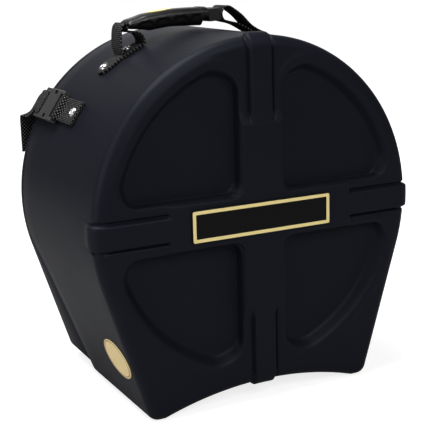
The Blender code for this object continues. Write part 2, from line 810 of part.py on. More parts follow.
# Loop routes: shares of the line from the outer foot to the grip's end, along it and square to it
LEFT_LOOP_SHARES = (
    (0.004, -0.003), (0.217, -0.125), (0.507, -0.183), (0.772, -0.208), (0.954, -0.190), (1.066, -0.102),
    (1.026, -0.010), (0.865, 0.011), (0.813, 0.145), (0.849, 0.348), (0.808, 0.533), (0.680, 0.680),
    (0.519, 0.740)
)
RIGHT_LOOP_SHARES = (
    (0.001, 0.013), (0.131, 0.050), (0.284, 0.050), (0.416, 0.044), (0.543, 0.058), (0.707, 0.110),
    (0.844, 0.132), (0.946, 0.135), (1.004, 0.092), (1.0, 0.0), (0.939, -0.056), (0.852, -0.044),
    (0.730, -0.015), (0.621, -0.008), (0.479, -0.015)
)


def loop_mesh(outer, inner, tip, shares):
    """A webbing loop from the anchor's outer side round the grip's end to the anchor's inner end."""
    line = tip - outer
    square = Vector((line.z, 0, -line.x))
    points = [outer + line * along + square * away for along, away in shares]
    points.append(inner)
    route = smooth_route(points, 3)
    count = len(route)
    return ribbon(route, even(count, Vector((0, 1, 0))), even(count, HANDLE_WEB_WIDTH), WEB_THICKNESS)


def build_handle(looks, case, shell):
    """Anchors, loops, core and grip of the carrying handle."""
    axis = Matrix.Translation((0, HANDLE_DEPTH, HANDLE_AXIS_HEIGHT))
    swing = empty("handle_swing_axis", axis, case)
    lift = empty("grip_lift_frame", axis.inverted() @ grip_place(), swing)
    piece("handle_core", core_mesh(0), looks["core_rubber"], lift)
    grip = piece("handle_grip", grip_mesh(), looks["grip_rubber"], lift)
    combine(grip, cutter("grip_bore", core_mesh(TOUCH_GAP), lift), "DIFFERENCE")
    build_grip_badge(looks, lift, grip)
    slant = math.radians(GRIP_TILT)
    near = -GRIP_LENGTH / 2 - CORE_STUB
    tips = {-1: Vector((near, 0, arch(near)))}
    far = GRIP_LENGTH / 2 + TOUCH_GAP + CORE_TONGUE
    tips[1] = Vector((far, 0, arch(far) - TONGUE_DROP))
    for side, name, shares in ((-1, "left", LEFT_LOOP_SHARES), (1, "right", RIGHT_LOOP_SHARES)):
        anchor = piece(f"{name}_handle_anchor", anchor_mesh(side), looks["webbing"], case)
        outer_angle = ANCHOR_LOOP_ANGLE if side < 0 else 180 - ANCHOR_LOOP_ANGLE
        inner_angle = ANCHOR_INNER_ANGLE if side < 0 else 180 - ANCHOR_INNER_ANGLE
        above = TOUCH_GAP * 2 + DOUBLED_THICKNESS
        outer = rim_point(outer_angle, above)
        inner = rim_point(inner_angle, LOOP_FOOT_LIFT) + Vector((-side * LOOP_FOOT_SETBACK, 0, 0))
        tip = grip_place() @ tips[side]
        tip += Vector((math.cos(slant), 0, math.sin(slant))) * side * (TOUCH_GAP + WEB_THICKNESS / 2)
        mesh = loop_mesh(outer, inner, tip, shares)
        piece(f"{name}_handle_loop", mesh, looks["webbing"], swing, axis.inverted())
        for order, angle in (("outer", ANCHOR_OUTER_RIVET_ANGLE), ("inner", ANCHOR_INNER_RIVET_ANGLE)):
            turn = angle if side < 0 else 180 - angle
            place = wall_frame(turn, HANDLE_DEPTH, wall_radius(HANDLE_DEPTH))
            stack = DOUBLED_THICKNESS + 2 * TOUCH_GAP
            rivet(
                f"{name}_handle_rivet_{order}", place, stack, SHELL_WALL, looks, case, [anchor, shell]
            )


def build_grip_badge(looks, lift, grip):
    """Small oval plate let into the top of the grip."""
    share = GRIP_BADGE_OFFSET / GRIP_LENGTH + 0.5
    top = arch(GRIP_BADGE_OFFSET) + at_share(GRIP_TOP_SHARES, share) * GRIP_HEIGHT / 2
    lean = math.atan(2 * GRIP_ARCH * GRIP_BADGE_OFFSET / (GRIP_LENGTH / 2) ** 2)
    seat = Matrix.Translation((GRIP_BADGE_OFFSET, 0, top)) @ Matrix.Rotation(lean, 4, "Y")
    low = -GRIP_BADGE_THICKNESS
    oval = ellipse(GRIP_BADGE_LENGTH, GRIP_BADGE_WIDTH, LABEL_STEPS // 2)
    piece("grip_badge", plate(oval, low, TOUCH_GAP), looks["badge_yellow"], lift, seat)
    room = ellipse(
        GRIP_BADGE_LENGTH + 2 * TOUCH_GAP, GRIP_BADGE_WIDTH + 2 * TOUCH_GAP, LABEL_STEPS // 2
    )
    pocket = cutter("grip_badge_pocket", plate(room, low - TOUCH_GAP, OVERRUN), lift, seat)
    combine(grip, pocket, "DIFFERENCE")


# Buckles, in the frame of the round wall: X across, Y depth, Z height above the wall

def housing_pieces():
    """The housing's block and what is cut from it."""
    half = BUCKLE_WIDTH / 2
    front = BUCKLE_SEAM_DEPTH - HOUSING_LENGTH
    low, high = BUCKLE_LIFT, BUCKLE_LIFT + BUCKLE_HEIGHT
    middle = (low + high) / 2
    block = eased(box((-half, front, low), (half, BUCKLE_SEAM_DEPTH, high)), BUCKLE_EASING)
    cuts = []
    back = BUCKLE_SEAM_DEPTH - SOCKET_DEPTH
    socket_low, socket_high = low + BUCKLE_SKIN, high - BUCKLE_SKIN
    socket = box(
        (-SOCKET_HALF_WIDTH, back, socket_low), (SOCKET_HALF_WIDTH, BUCKLE_SEAM_DEPTH + OVERRUN, socket_high)
    )
    cuts.append(("socket", socket))
    slot_front = front + BAR_DEPTH
    slot = box(
        (-SLOT_HALF_WIDTH, slot_front, low - OVERRUN), (SLOT_HALF_WIDTH, slot_front + SLOT_DEPTH, high + OVERRUN)
    )
    cuts.append(("slot", slot))
    bar_low, bar_high = middle - BAR_THICKNESS / 2, middle + BAR_THICKNESS / 2
    thin = bmesh.new()
    for z0, z1 in ((low - OVERRUN, bar_low), (bar_high, high + OVERRUN)):
        box((-SLOT_HALF_WIDTH, front - OVERRUN, z0), (SLOT_HALF_WIDTH, slot_front + SLOT_DEPTH / 2, z1), thin)
    cuts.append(("bar", thin))
    windows = bmesh.new()
    rear = BUCKLE_SEAM_DEPTH - WINDOW_FRONT
    fore = BUCKLE_SEAM_DEPTH - WINDOW_REAR
    inner = SOCKET_HALF_WIDTH - BUCKLE_SKIN
    for side in (-1, 1):
        x0, x1 = sorted((side * inner, side * (half + OVERRUN)))
        box((x0, fore, low + WINDOW_SILL), (x1, rear, high - WINDOW_SILL), windows)
    cuts.append(("side_windows", windows))
    tops = bmesh.new()
    edge = half - TOP_WINDOW_INSET
    inset = BUCKLE_EASING
    for side in (-1, 1):
        x0, x1 = sorted((side * (edge - TOP_WINDOW_WIDTH), side * edge))
        box((x0, fore + inset, socket_high - BUCKLE_SKIN), (x1, rear - inset, high + OVERRUN), tops)
    cuts.append(("top_windows", tops))
    return block, cuts


def plug_pieces():
    """The plug's flange, ladder and tongue, and the slots of the ladder."""
    half = BUCKLE_WIDTH / 2
    low, high = BUCKLE_LIFT, BUCKLE_LIFT + BUCKLE_HEIGHT
    middle = (low + high) / 2
    face = BUCKLE_SEAM_DEPTH + TOUCH_GAP
    back = face + FLANGE_DEPTH
    flange = eased(box((-half, face, low), (half, back, high)), BUCKLE_EASING / 2)
    thin = LADDER_THICKNESS / 2
    ladder_end = face + LADDER_LENGTH
    joint = back - FLANGE_DEPTH / 2
    frame = eased(box((-half, joint, middle - thin), (half, ladder_end, middle + thin)), BUCKLE_EASING / 2)
    tongue = box(
        (-TONGUE_HALF_WIDTH, face - TONGUE_LENGTH, middle - TONGUE_HEIGHT / 2),
        (TONGUE_HALF_WIDTH, back - FLANGE_DEPTH / 2, middle + TONGUE_HEIGHT / 2),
    )
    slots = bmesh.new()
    front_slot = back + LADDER_REAR_BAR / 2
    rear_slot = ladder_end - LADDER_REAR_BAR - LADDER_SLOT
    for start in (front_slot, rear_slot):
        box(
            (-SLOT_HALF_WIDTH, start, middle - BUCKLE_HEIGHT),
            (SLOT_HALF_WIDTH, start + LADDER_SLOT, middle + BUCKLE_HEIGHT),
            slots,
        )
    return flange, frame, tongue, slots


# A prong's outline: shares of half the buckle's width across and of the prong's length forward
PRONG_SHARES = (
    (-0.075, 0.0), (0.075, 0.0), (0.105, 0.33), (0.125, 0.52), (0.315, 0.545), (0.375, 0.77), (0.270, 0.90),
    (0.085, 1.0), (-0.030, 0.93), (-0.035, 0.50)
)


def prong_mesh(side):
    """One spring arm with its catch, about the pivot at its root."""
    half = BUCKLE_WIDTH / 2
    points = [(side * half * x, -PRONG_LENGTH * y) for x, y in PRONG_SHARES]
    return plate(points, -PRONG_HEIGHT / 2, PRONG_HEIGHT / 2)


def settle(depth):
    """Height of the flared wall at a depth, in the straight frame of a buckle."""
    return wall_radius(depth) - wall_radius(MOUTH_DEPTH)


def tab_route():
    """Doubled tab: along the wall, round the housing's bar and back; (depth, height) points."""
    front = BUCKLE_SEAM_DEPTH - HOUSING_LENGTH
    low, high = BUCKLE_LIFT, BUCKLE_LIFT + BUCKLE_HEIGHT
    middle = (low + high) / 2
    half = WEB_THICKNESS / 2
    clear = TOUCH_GAP + half
    bar_y = front + BAR_DEPTH / 2
    over = BAR_THICKNESS / 2 + clear
    behind = BAR_DEPTH / 2 + clear
    first = TOUCH_GAP + half
    second = first + WEB_THICKNESS + TOUCH_GAP
    run = TAB_RIVET_DEPTH + RIVET_HEAD_RADIUS
    straight = [(y, first + settle(y)) for y in (TAB_FRONT_DEPTH, TAB_RIVET_DEPTH, run, front - over * 2)]
    out = [(front - behind, first + TOUCH_GAP + settle(front)), (bar_y, middle - over)]
    side_z = BAR_THICKNESS / 2
    turn = [(bar_y + BAR_DEPTH / 2, middle - over), (bar_y + behind, middle - side_z)]
    turn += [(bar_y + behind, middle + side_z), (bar_y + BAR_DEPTH / 2, middle + over), (bar_y, middle + over)]
    back = [(front, middle + over), (front - behind, middle + side_z)]
    back.append((front - over * 2, second + half + settle(front)))
    home = [(y, second + settle(y)) for y in (front - over * 4, run, TAB_RIVET_DEPTH, TAB_FRONT_DEPTH)]
    return straight + out + turn + back + home


def tab_mesh():
    """The webbing tab that holds the housing."""
    route = smooth_route([Vector((0, y, z)) for y, z in tab_route()], 2)
    count = len(route)
    return ribbon(route, even(count, Vector((1, 0, 0))), even(count, WEB_WIDTH), WEB_THICKNESS)


# The strap's free end: shares of its drift, depth and height up to the ridge over the rim, and then
# shares of its length and of its distance from the ridge as it hangs
RISE_SHARES = ((0.27, 0.27, 0.22), (0.64, 0.68, 0.61), (1.0, 1.0, 1.0))
TAIL_SHARES = ((0.09, 0.66), (0.22, 0.97), (0.48, 1.0), (0.74, 1.0), (1.0, 1.0))


def strap_under():
    """Strap from its rivet on the rear face, over the rim and under the ladder; (depth, height)."""
    clear = TOUCH_GAP + WEB_THICKNESS / 2
    floor = REAR_DEPTH - RECESS_DEPTH + clear
    face = REAR_DEPTH + clear
    slope_top = RIM_RADIUS + WALL_FLARE - RECESS_RADIUS
    slope_end = slope_top + RECESS_RIM_SLOPE
    centre = (REAR_DEPTH - RIM_FILLET, -REAR_STEP - RIM_FILLET)
    over_rim = arc(centre, RIM_FILLET + clear, 0, math.pi / 2, FILLET_STEPS)
    return [
        (floor, -STRAP_END_INSET),
        (floor, -STRAP_RIVET_INSET),
        (floor, -slope_end - clear * 3),
        (floor + clear, -slope_end),
        (face + TOUCH_GAP, -slope_top - clear),
        *over_rim,
        (MOUTH_DEPTH + clear, clear + TOUCH_GAP),
        (BUCKLE_SEAM_DEPTH + LADDER_LENGTH, clear),
        (BUCKLE_SEAM_DEPTH + LADDER_LENGTH - LADDER_REAR_BAR, clear),
    ]


def strap_over(side):
    """Strap round the ladder's bar, back over the rim and down as the hanging tail."""
    clear = TOUCH_GAP + WEB_THICKNESS / 2
    middle = BUCKLE_LIFT + BUCKLE_HEIGHT / 2
    over = middle + LADDER_THICKNESS / 2 + clear
    end = BUCKLE_SEAM_DEPTH + TOUCH_GAP + LADDER_LENGTH
    slot_rear = BUCKLE_SEAM_DEPTH + TOUCH_GAP + FLANGE_DEPTH + LADDER_REAR_BAR / 2 + LADDER_SLOT
    turn_y = slot_rear - clear
    ease = LADDER_THICKNESS / 4
    points = [
        Vector((0, slot_rear + clear, clear)),
        Vector((0, turn_y, clear + ease)),
        Vector((0, turn_y, middle)),
        Vector((0, turn_y, over - ease)),
        Vector((0, slot_rear + clear, over)),
        Vector((0, end, over)),
    ]
    ridge = Vector((side * TAIL_DRIFT, TAIL_RIDGE_DEPTH, TAIL_RIDGE_HEIGHT))
    for drift, depth, height in RISE_SHARES:
        y = end + (ridge.y - end) * depth
        points.append(Vector((ridge.x * drift, y, over + (ridge.z - over) * height)))
    for drop, away in TAIL_SHARES:
        points.append(ridge + tail_down(side) * TAIL_LENGTH * drop + Vector((0, TAIL_STANDOFF * away, 0)))
    return points


def tail_down(side):
    """The way down, in the frame of the wall that a buckle lies on."""
    turn = math.radians(BUCKLE_ANGLE)
    return Vector((-side * math.cos(turn), 0, -math.sin(turn)))


def strap_mesh(side):
    """The strap and its hanging tail, one piece of webbing."""
    points = [Vector((0, y, z)) for y, z in strap_under()] + strap_over(side)
    steps = 2
    route = smooth_route(points, steps)
    flat = Vector((1, 0, 0))
    hung = Vector((0, 1, 0)).cross(tail_down(side))
    if hung.dot(flat) < 0:
        hung = -hung
    turned = steps * len(TAIL_SHARES)
    count = len(route)
    across = []
    for index in range(count):
        share = max(0, index - (count - 1 - turned)) / (turned / 2)
        across.append(flat.lerp(hung, min(share, 1)))
    return ribbon(route, across, even(count, WEB_WIDTH), WEB_THICKNESS)


def build_buckle(side, name, looks, case, rear, front_shell, rear_shell):
    """One buckle with its tab, strap and rivets; side is -1 on the left."""
    angle = BUCKLE_ANGLE if side < 0 else 180 - BUCKLE_ANGLE
    place = wall_frame(angle, 0, wall_radius(MOUTH_DEPTH))
    tab = piece(f"{name}_buckle_tab", tab_mesh(), looks["webbing"], case, place)
    block, cuts = housing_pieces()
    housing = piece(f"{name}_buckle_housing", block, looks["buckle_plastic"], case, place)
    for cut_name, mesh in cuts:
        tool = cutter(f"{name}_housing_{cut_name}", mesh, case, place)
        combine(housing, tool, "DIFFERENCE")
    flange, frame, tongue, slots = plug_pieces()
    plug = piece(f"{name}_buckle_plug", flange, looks["buckle_plastic"], rear, place)
    for part_name, mesh, operation in (
        ("frame", frame, "UNION"), ("tongue", tongue, "UNION"), ("slots", slots, "DIFFERENCE")
    ):
        combine(plug, cutter(f"{name}_plug_{part_name}", mesh, rear, place), operation)
    middle = BUCKLE_LIFT + BUCKLE_HEIGHT / 2
    for order, across in (("lower", side), ("upper", -side)):
        pivot = place @ Matrix.Translation((across * PRONG_PIVOT_X, BUCKLE_SEAM_DEPTH, middle))
        piece(f"{name}_prong_{order}", prong_mesh(across), looks["buckle_plastic"], rear, pivot)
    strap = piece(f"{name}_buckle_strap", strap_mesh(side), looks["webbing"], rear, place)
    tab_seat = wall_frame(angle, TAB_RIVET_DEPTH, wall_radius(TAB_RIVET_DEPTH))
    stack = 2 * WEB_THICKNESS + 3 * TOUCH_GAP
    rivet(f"{name}_tab_rivet", tab_seat, stack, SHELL_WALL, looks, case, [tab, front_shell])
    seat = place @ Matrix.Translation((0, REAR_DEPTH - RECESS_DEPTH, -STRAP_RIVET_INSET))
    seat = seat @ Matrix.Rotation(math.radians(-90), 4, "X")
    stack = WEB_THICKNESS + 2 * TOUCH_GAP
    rivet(f"{name}_strap_rivet", seat, stack, SHELL_WALL, looks, rear, [strap, rear_shell])


# Badge and label

def build_badge(looks, case):
    """Bare plate with a raised border, on the cross pads."""
    turn = Matrix.Rotation(math.radians(90), 4, "X")
    place = Matrix.Translation((BADGE_CENTRE, -PAD_PROUD - TOUCH_GAP, RIM_CENTRE_HEIGHT)) @ turn
    shape = rounded_rectangle(BADGE_LENGTH, BADGE_HEIGHT, BADGE_ROUNDING, 4)
    piece("badge_plate", plate(shape, 0, BADGE_THICKNESS), looks["badge_black"], case, place)
    outer_drop = 2 * BADGE_BORDER_INSET
    inner_drop = outer_drop + 2 * BADGE_BORDER_WIDTH
    outer = rounded_rectangle(
        BADGE_LENGTH - outer_drop, BADGE_HEIGHT - outer_drop, BADGE_ROUNDING - BADGE_BORDER_INSET, 4
    )
    inner = rounded_rectangle(
        BADGE_LENGTH - inner_drop, BADGE_HEIGHT - inner_drop, BADGE_BORDER_INSET, 4
    )
    low = BADGE_THICKNESS + TOUCH_GAP
    high = low + BADGE_BORDER_THICKNESS
    mesh = bmesh.new()
    rows = []
    for points, z in ((outer, low), (outer, high), (inner, high), (inner, low)):
        rows.append([mesh.verts.new((x, y, z)) for x, y in points])
    for near, far in zip(rows, rows[1:] + rows[:1]):
        for here in range(len(near)):
            after = (here + 1) % len(near)
            mesh.faces.new((near[here], near[after], far[after], far[here]))
    piece("badge_border", mesh, looks["badge_yellow"], case, place)


def build_label(looks, case):
    """Oval plate on the flat part of the left wall, its length along the depth."""
    cosine, sine = math.cos(TANGENT_ANGLE), math.sin(TANGENT_ANGLE)
    normal = Vector((-cosine, -math.tan(WALL_DRAFT), sine)).normalized()
    forward = Vector((0, -1, 0))
    along = (forward - normal * normal.dot(forward)).normalized()
    up = normal.cross(along)
    x = (wall_radius(LABEL_DEPTH) - sine * (LABEL_HEIGHT_UP_WALL - RIM_CENTRE_HEIGHT)) / cosine
    place = Matrix((along, up, normal)).transposed().to_4x4()
    place.translation = Vector((-x, LABEL_DEPTH, LABEL_HEIGHT_UP_WALL))
    shape = ellipse(LABEL_LENGTH, LABEL_HEIGHT, LABEL_STEPS)
    mesh = plate(shape, TOUCH_GAP, TOUCH_GAP + LABEL_THICKNESS)
    piece("oval_label", mesh, looks["badge_yellow"], case, place)


def make_looks():
    """The materials of the part."""
    return {
        "shell_plastic": material("shell_plastic", (0.012, 0.012, 0.015), 0.55),
        "badge_black": material("badge_black", (0.010, 0.010, 0.012), 0.35),
        "badge_yellow": material("badge_yellow", (0.78, 0.55, 0.16), 0.40),
        "webbing": material("webbing", (0.018, 0.018, 0.020), 0.85),
        "core_rubber": material("core_rubber", (0.020, 0.020, 0.022), 0.60),
        "grip_rubber": material("grip_rubber", (0.016, 0.016, 0.018), 0.35),
        "buckle_plastic": material("buckle_plastic", (0.020, 0.020, 0.023), 0.40),
        "rivet_steel": material("rivet_steel", (0.72, 0.72, 0.74), 0.25, 1.0),
    }


def main():
    """Build the whole case."""
    clear_scene()
    looks = make_looks()
    case = empty("case_frame", Matrix.Translation((0, -CENTRE_DEPTH, 0)))
    rear = empty("rear_shell_frame", Matrix.Identity(4), case)
    front_shell = piece("front_shell", front_shell_mesh(), looks["shell_plastic"], case)
    mould_face(front_shell, "front", 0, 1, 0, case)
    rear_shell = piece("rear_shell", rear_shell_mesh(), looks["shell_plastic"], rear)
    mould_face(rear_shell, "rear", REAR_DEPTH, -1, REAR_STEP - WALL_FLARE, rear)
    build_badge(looks, case)
    build_label(looks, case)
    build_handle(looks, case, front_shell)
    for side, name in ((-1, "left"), (1, "right")):
        build_buckle(side, name, looks, case, rear, front_shell, rear_shell)


main()
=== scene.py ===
"""Looks of the moulded drum case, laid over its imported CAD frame.

Lengths are in metres. Depths run from the front face into the case; CaseShape.point carries them to the frame.
"""

import logging
import math
from dataclasses import dataclass, field
from enum import Enum
from typing import Any, Callable, Iterator, Optional, Sequence, Union

import bmesh
import bpy
import numpy as np
from mathutils import Matrix, Vector
from mathutils.geometry import delaunay_2d_cdt


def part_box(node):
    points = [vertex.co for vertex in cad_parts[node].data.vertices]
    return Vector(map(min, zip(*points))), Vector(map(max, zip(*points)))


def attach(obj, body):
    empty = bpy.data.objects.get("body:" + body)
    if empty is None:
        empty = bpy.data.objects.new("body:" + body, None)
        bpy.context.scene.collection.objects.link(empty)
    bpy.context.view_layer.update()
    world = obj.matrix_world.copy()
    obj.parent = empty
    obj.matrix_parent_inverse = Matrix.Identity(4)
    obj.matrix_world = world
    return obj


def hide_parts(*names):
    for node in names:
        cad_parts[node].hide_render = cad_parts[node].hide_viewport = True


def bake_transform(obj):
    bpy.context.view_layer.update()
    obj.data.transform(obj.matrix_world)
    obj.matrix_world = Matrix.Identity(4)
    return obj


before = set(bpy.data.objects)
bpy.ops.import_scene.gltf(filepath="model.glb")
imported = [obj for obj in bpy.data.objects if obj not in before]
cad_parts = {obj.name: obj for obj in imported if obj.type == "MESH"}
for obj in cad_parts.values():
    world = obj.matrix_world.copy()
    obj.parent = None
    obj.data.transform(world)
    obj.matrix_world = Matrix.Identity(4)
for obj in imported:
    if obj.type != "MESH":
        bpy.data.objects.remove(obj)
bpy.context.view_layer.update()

LOG = logging.getLogger("drum_case")
Pair = tuple[float, float]
Triple = tuple[float, float, float]
Colour = tuple[float, float, float, float]
X_AXIS, Y_AXIS, Z_AXIS = Vector((1, 0, 0)), Vector((0, 1, 0)), Vector((0, 0, 1))
WHITE: Colour = (1.0, 1.0, 1.0, 1.0)


class Side(Enum):
    """The two sides of the case, seen from the front."""

    LEFT = -1
    RIGHT = 1

    @property
    def word(self) -> str:
        """Name of the side as the frame's nodes spell it."""
        return self.name.lower()

    def angle(self, left: float) -> float:
        """Angle about the rim, in degrees, of a place given for the left side."""
        return left if self is Side.LEFT else 180 - left


class Operation(Enum):
    """Math operations of the node trees."""

    ADD = "ADD"
    SUBTRACT = "SUBTRACT"
    MULTIPLY = "MULTIPLY"
    DIVIDE = "DIVIDE"
    POWER = "POWER"
    SINE = "SINE"
    MAXIMUM = "MAXIMUM"


# Node trees


def arithmetic(operation: Operation, swapped: bool = False) -> Callable[["Wire", Any], "Wire"]:
    """A Python operator of the wire class, as one Math node; swapped makes the wire its second value."""

    def apply(wire: "Wire", other: Any) -> "Wire":
        """Add the node."""
        return wire.tree.maths(operation, *((other, wire) if swapped else (wire, other)))

    return apply


class Wire:
    """A node's output that takes Python arithmetic and adds the Math nodes for it."""

    def __init__(self, tree: "Tree", socket: bpy.types.NodeSocket) -> None:
        """Keep the tree and the socket."""
        self.tree = tree
        self.socket = socket

    __add__ = __radd__ = arithmetic(Operation.ADD)
    __sub__ = arithmetic(Operation.SUBTRACT)
    __rsub__ = arithmetic(Operation.SUBTRACT, True)
    __mul__ = __rmul__ = arithmetic(Operation.MULTIPLY)
    __truediv__ = arithmetic(Operation.DIVIDE)
    __pow__ = arithmetic(Operation.POWER)

    def call(self, operation: Operation, other: Any = 0.0) -> "Wire":
        """A Math operation that Python has no sign for."""
        return self.tree.maths(operation, self, other)


class Tree:
    """A node tree, and the few ways in which this script adds to it."""

    def __init__(self, tree: bpy.types.NodeTree) -> None:
        """Keep the tree."""
        self.tree = tree

    def add(self, kind: str, inputs: Optional[dict[Any, Any]] = None, **settings: Any) -> bpy.types.Node:
        """Add a node: settings first, then values or links.

        Args:
            kind: Its type.
            inputs: Values or wires by socket name or number.
            settings: Its properties.

        Returns:
            The node.
        """
        made = self.tree.nodes.new(kind)
        for key, value in settings.items():
            setattr(made, key, value)
        for key, value in (inputs or {}).items():
            if isinstance(value, Wire):
                self.tree.links.new(value.socket, made.inputs[key])
            else:
                made.inputs[key].default_value = value
        return made

    def wire(self, kind: str, inputs: Optional[dict[Any, Any]] = None, output: Any = 0, **settings: Any) -> Wire:
        """One output of a new node."""
        return Wire(self, self.add(kind, inputs, **settings).outputs[output])

    def wires(self, kind: str, outputs: Sequence[Any], inputs: Optional[dict[Any, Any]] = None) -> list[Wire]:
        """Some outputs of a new node."""
        made = self.add(kind, inputs)
        return [Wire(self, made.outputs[key]) for key in outputs]

    def maths(self, operation: Operation, first: Any, second: Any) -> Wire:
        """One Math node."""
        return self.wire("ShaderNodeMath", {0: first, 1: second}, operation=operation.value)


class Graph(Tree):
    """The shader tree of a material or the world; place is in metres."""

    def __init__(self, name: str, world: bool = False) -> None:
        """Start an empty material or world."""
        self.owner = (bpy.data.worlds if world else bpy.data.materials).new(name)
        self.owner.use_nodes = True
        super().__init__(self.owner.node_tree)
        self.tree.nodes.clear()
        self.place, self.chart, self.way = self.wires("ShaderNodeTexCoord", ("Object", "UV", "Generated"))

    def noise(self, size: float, detail: float = 2.0, rough: float = 0.5) -> Wire:
        """Noise about 0.5 whose features have a given size, with octaves and the share of the finer ones."""
        values = {"Vector": self.place, "Scale": 1 / size, "Detail": detail, "Roughness": rough}
        return self.wire("ShaderNodeTexNoise", values, "Fac")

    def rays(self) -> tuple[Wire, Wire]:
        """Whether a ray comes from the camera, and whether from a shiny surface."""
        kinds = ("Is Camera Ray", "Is Glossy Ray", "Is Transmission Ray")
        camera, glossy, through = self.wires("ShaderNodeLightPath", kinds)
        return camera, glossy.call(Operation.MAXIMUM, through)

    def split(self, vector: Wire) -> list[Wire]:
        """The three parts of a vector."""
        return self.wires("ShaderNodeSeparateXYZ", (0, 1, 2), {0: vector})

    def band(self, value: Wire, low: float, high: float) -> Wire:
        """Smooth step of a value from 0 at low to 1 at high."""
        values = {"Value": value, "From Min": low, "From Max": high}
        return self.wire("ShaderNodeMapRange", values, interpolation_type="SMOOTHSTEP")

    def mix(self, share: Any, first: Any, second: Any) -> Wire:
        """Mix of two colours."""
        return self.wire("ShaderNodeMix", {0: share, 6: first, 7: second}, 2, data_type="RGBA")

    def bump(self, height: Wire, depth: float, strength: float) -> Wire:
        """A normal from a height of 0 to 1 over a real depth."""
        return self.wire("ShaderNodeBump", {"Height": height, "Distance": depth, "Strength": strength})

    def finish(self, **sockets: Any) -> bpy.types.Material:
        """Close the material with a Principled shader; underscores stand for spaces in its inputs' names."""
        names = {key.replace("_", " "): value for key, value in sockets.items()}
        return self.close(self.wire("ShaderNodeBsdfPrincipled", names))

    def close(self, shader: Wire) -> Any:
        """Link a shader to the output, which gives the material or world."""
        kind = "World" if isinstance(self.owner, bpy.types.World) else "Material"
        self.add(f"ShaderNodeOutput{kind}", {0: shader})
        return self.owner


def grey(value: float) -> Colour:
    """A neutral grey."""
    return (value, value, value, 1.0)


def dimmed(colour: Colour, share: float) -> Colour:
    """A colour at a share of its brightness."""
    return (*(part * share for part in colour[:3]), 1.0)


@dataclass(frozen=True)
class Finish:
    """A surface whose tone and gloss drift with a soft cloud and with sharper flecks.

    Noises are (size of the features, octaves, share of the finer ones); flecks are a smooth band of one.
    """

    name: str
    colour: Colour
    worn: Colour
    cloud: Triple = (0.014, 4.0, 0.6)
    cloud_share: float = 1.0
    flecks: Optional[Triple] = None
    fleck_band: Pair = (0.0, 1.0)
    fleck_share: float = 0.0
    fleck_rough: float = 0.0
    roughness: float = 0.40
    duller: float = 0.16
    specular: float = 0.40
    metallic: float = 0.0
    tint: Colour = WHITE
    grain: Triple = (0.0012, 3.0, 0.6)
    relief: Pair = (0.00006, 0.6)

    def make(self) -> bpy.types.Material:
        """Build the material."""
        graph = Graph(self.name)
        cloud = graph.noise(*self.cloud)
        tone, rough = cloud * self.cloud_share, self.roughness + cloud * self.duller
        if self.flecks:
            fleck = graph.band(graph.noise(*self.flecks), *self.fleck_band)
            tone, rough = tone + fleck * self.fleck_share, rough + fleck * self.fleck_rough
        return graph.finish(
            Base_Color=self.base(graph, tone),
            Metallic=self.metallic,
            Roughness=rough,
            Specular_IOR_Level=self.specular,
            Specular_Tint=self.tint,
            Normal=graph.bump(self.skin(graph), *self.relief),
        )

    def base(self, graph: Graph, tone: Wire) -> Wire:
        """Its colour for a tone of 0 to 1."""
        return graph.mix(tone, self.colour, self.worn)

    def skin(self, graph: Graph) -> Wire:
        """Height of its finest relief."""
        return graph.noise(*self.grain)


@dataclass(frozen=True)
class MouldedShell(Finish):
    """Rotationally moulded polyethylene, with an orange-peel skin in two sizes."""

    peel: tuple[Pair, ...] = ((0.0011, 0.7), (0.0055, 0.6))

    def skin(self, graph: Graph) -> Wire:
        """Height of the orange peel."""
        return sum(graph.noise(size) * share for size, share in self.peel)


@dataclass(frozen=True)
class HandledPaint(Finish):
    """Paint on a plate, darker in flecks where it is handled."""

    rubs: Triple = (0.0022, 4.0, 0.7)
    rub_band: Pair = (0.60, 0.78)
    rub_share: float = 0.35
    rub_tone: float = 0.70

    def base(self, graph: Graph, tone: Wire) -> Wire:
        """Its colour, with the flecks over it."""
        rub = graph.band(graph.noise(*self.rubs), *self.rub_band)
        return graph.mix(rub * self.rub_share, super().base(graph, tone), dimmed(self.colour, self.rub_tone))


@dataclass(frozen=True)
class LinedOval(Finish):
    """Paint of an oval plate, with a thin darker line near its edge."""

    line: Colour = (0.300, 0.170, 0.040, 1.0)
    line_share: float = 0.8
    line_rise: Pair = (0.74, 0.80)
    line_fall: Pair = (0.86, 0.92)
    centre: Pair = (-0.0861, 0.0663)
    half: Pair = (0.0340, 0.0224)

    def base(self, graph: Graph, tone: Wire) -> Wire:
        """Its colour, with the line over it."""
        _, y, z = graph.split(graph.place)
        away = ((y - self.centre[0]) / self.half[0]) ** 2 + ((z - self.centre[1]) / self.half[1]) ** 2
        ring = graph.band(away, *self.line_rise) - graph.band(away, *self.line_fall)
        return graph.mix(ring * self.line_share, super().base(graph, tone), self.line)


@dataclass(frozen=True)
class Webbing:
    """Heavy black webbing: yarns that cross in slanting rows, with fuzz and a painted sheen on each crown."""

    yarn: float = 0.0044
    fuzz: Triple = (0.0007, 3.0, 0.7)
    # painted sheen: over this band of each yarn's height the colour rises from the dark to the sheen colour
    sheen_band: Pair = (0.62, 0.88)
    relief: Pair = (0.00055, 0.9)
    dark: Colour = (0.0009, 0.0009, 0.0010, 1.0)
    light: Colour = (0.1700, 0.1700, 0.1670, 1.0)

    def make(self) -> bpy.types.Material:
        """Build the material; U and V of the piece's own map are metres across and along."""
        graph = Graph("woven_webbing")
        across, along, _ = graph.split(graph.chart)
        turn = math.tau / self.yarn
        weft, warp = ((way * turn).call(Operation.SINE) for way in (along, across))
        fuzz = graph.noise(*self.fuzz)
        crown = weft * warp * 0.44 + fuzz * 0.12 + 0.44
        # painted sheen: the colour turns lighter towards the crown of each yarn; the fuzz adds random tone
        tone = graph.band(crown, *self.sheen_band)
        return graph.finish(
            Base_Color=graph.mix(tone * (0.55 + fuzz * 0.45), self.dark, self.light),
            Roughness=0.88 - tone * 0.22,
            Specular_IOR_Level=0.14,
            Normal=graph.bump(crown, *self.relief),
        )


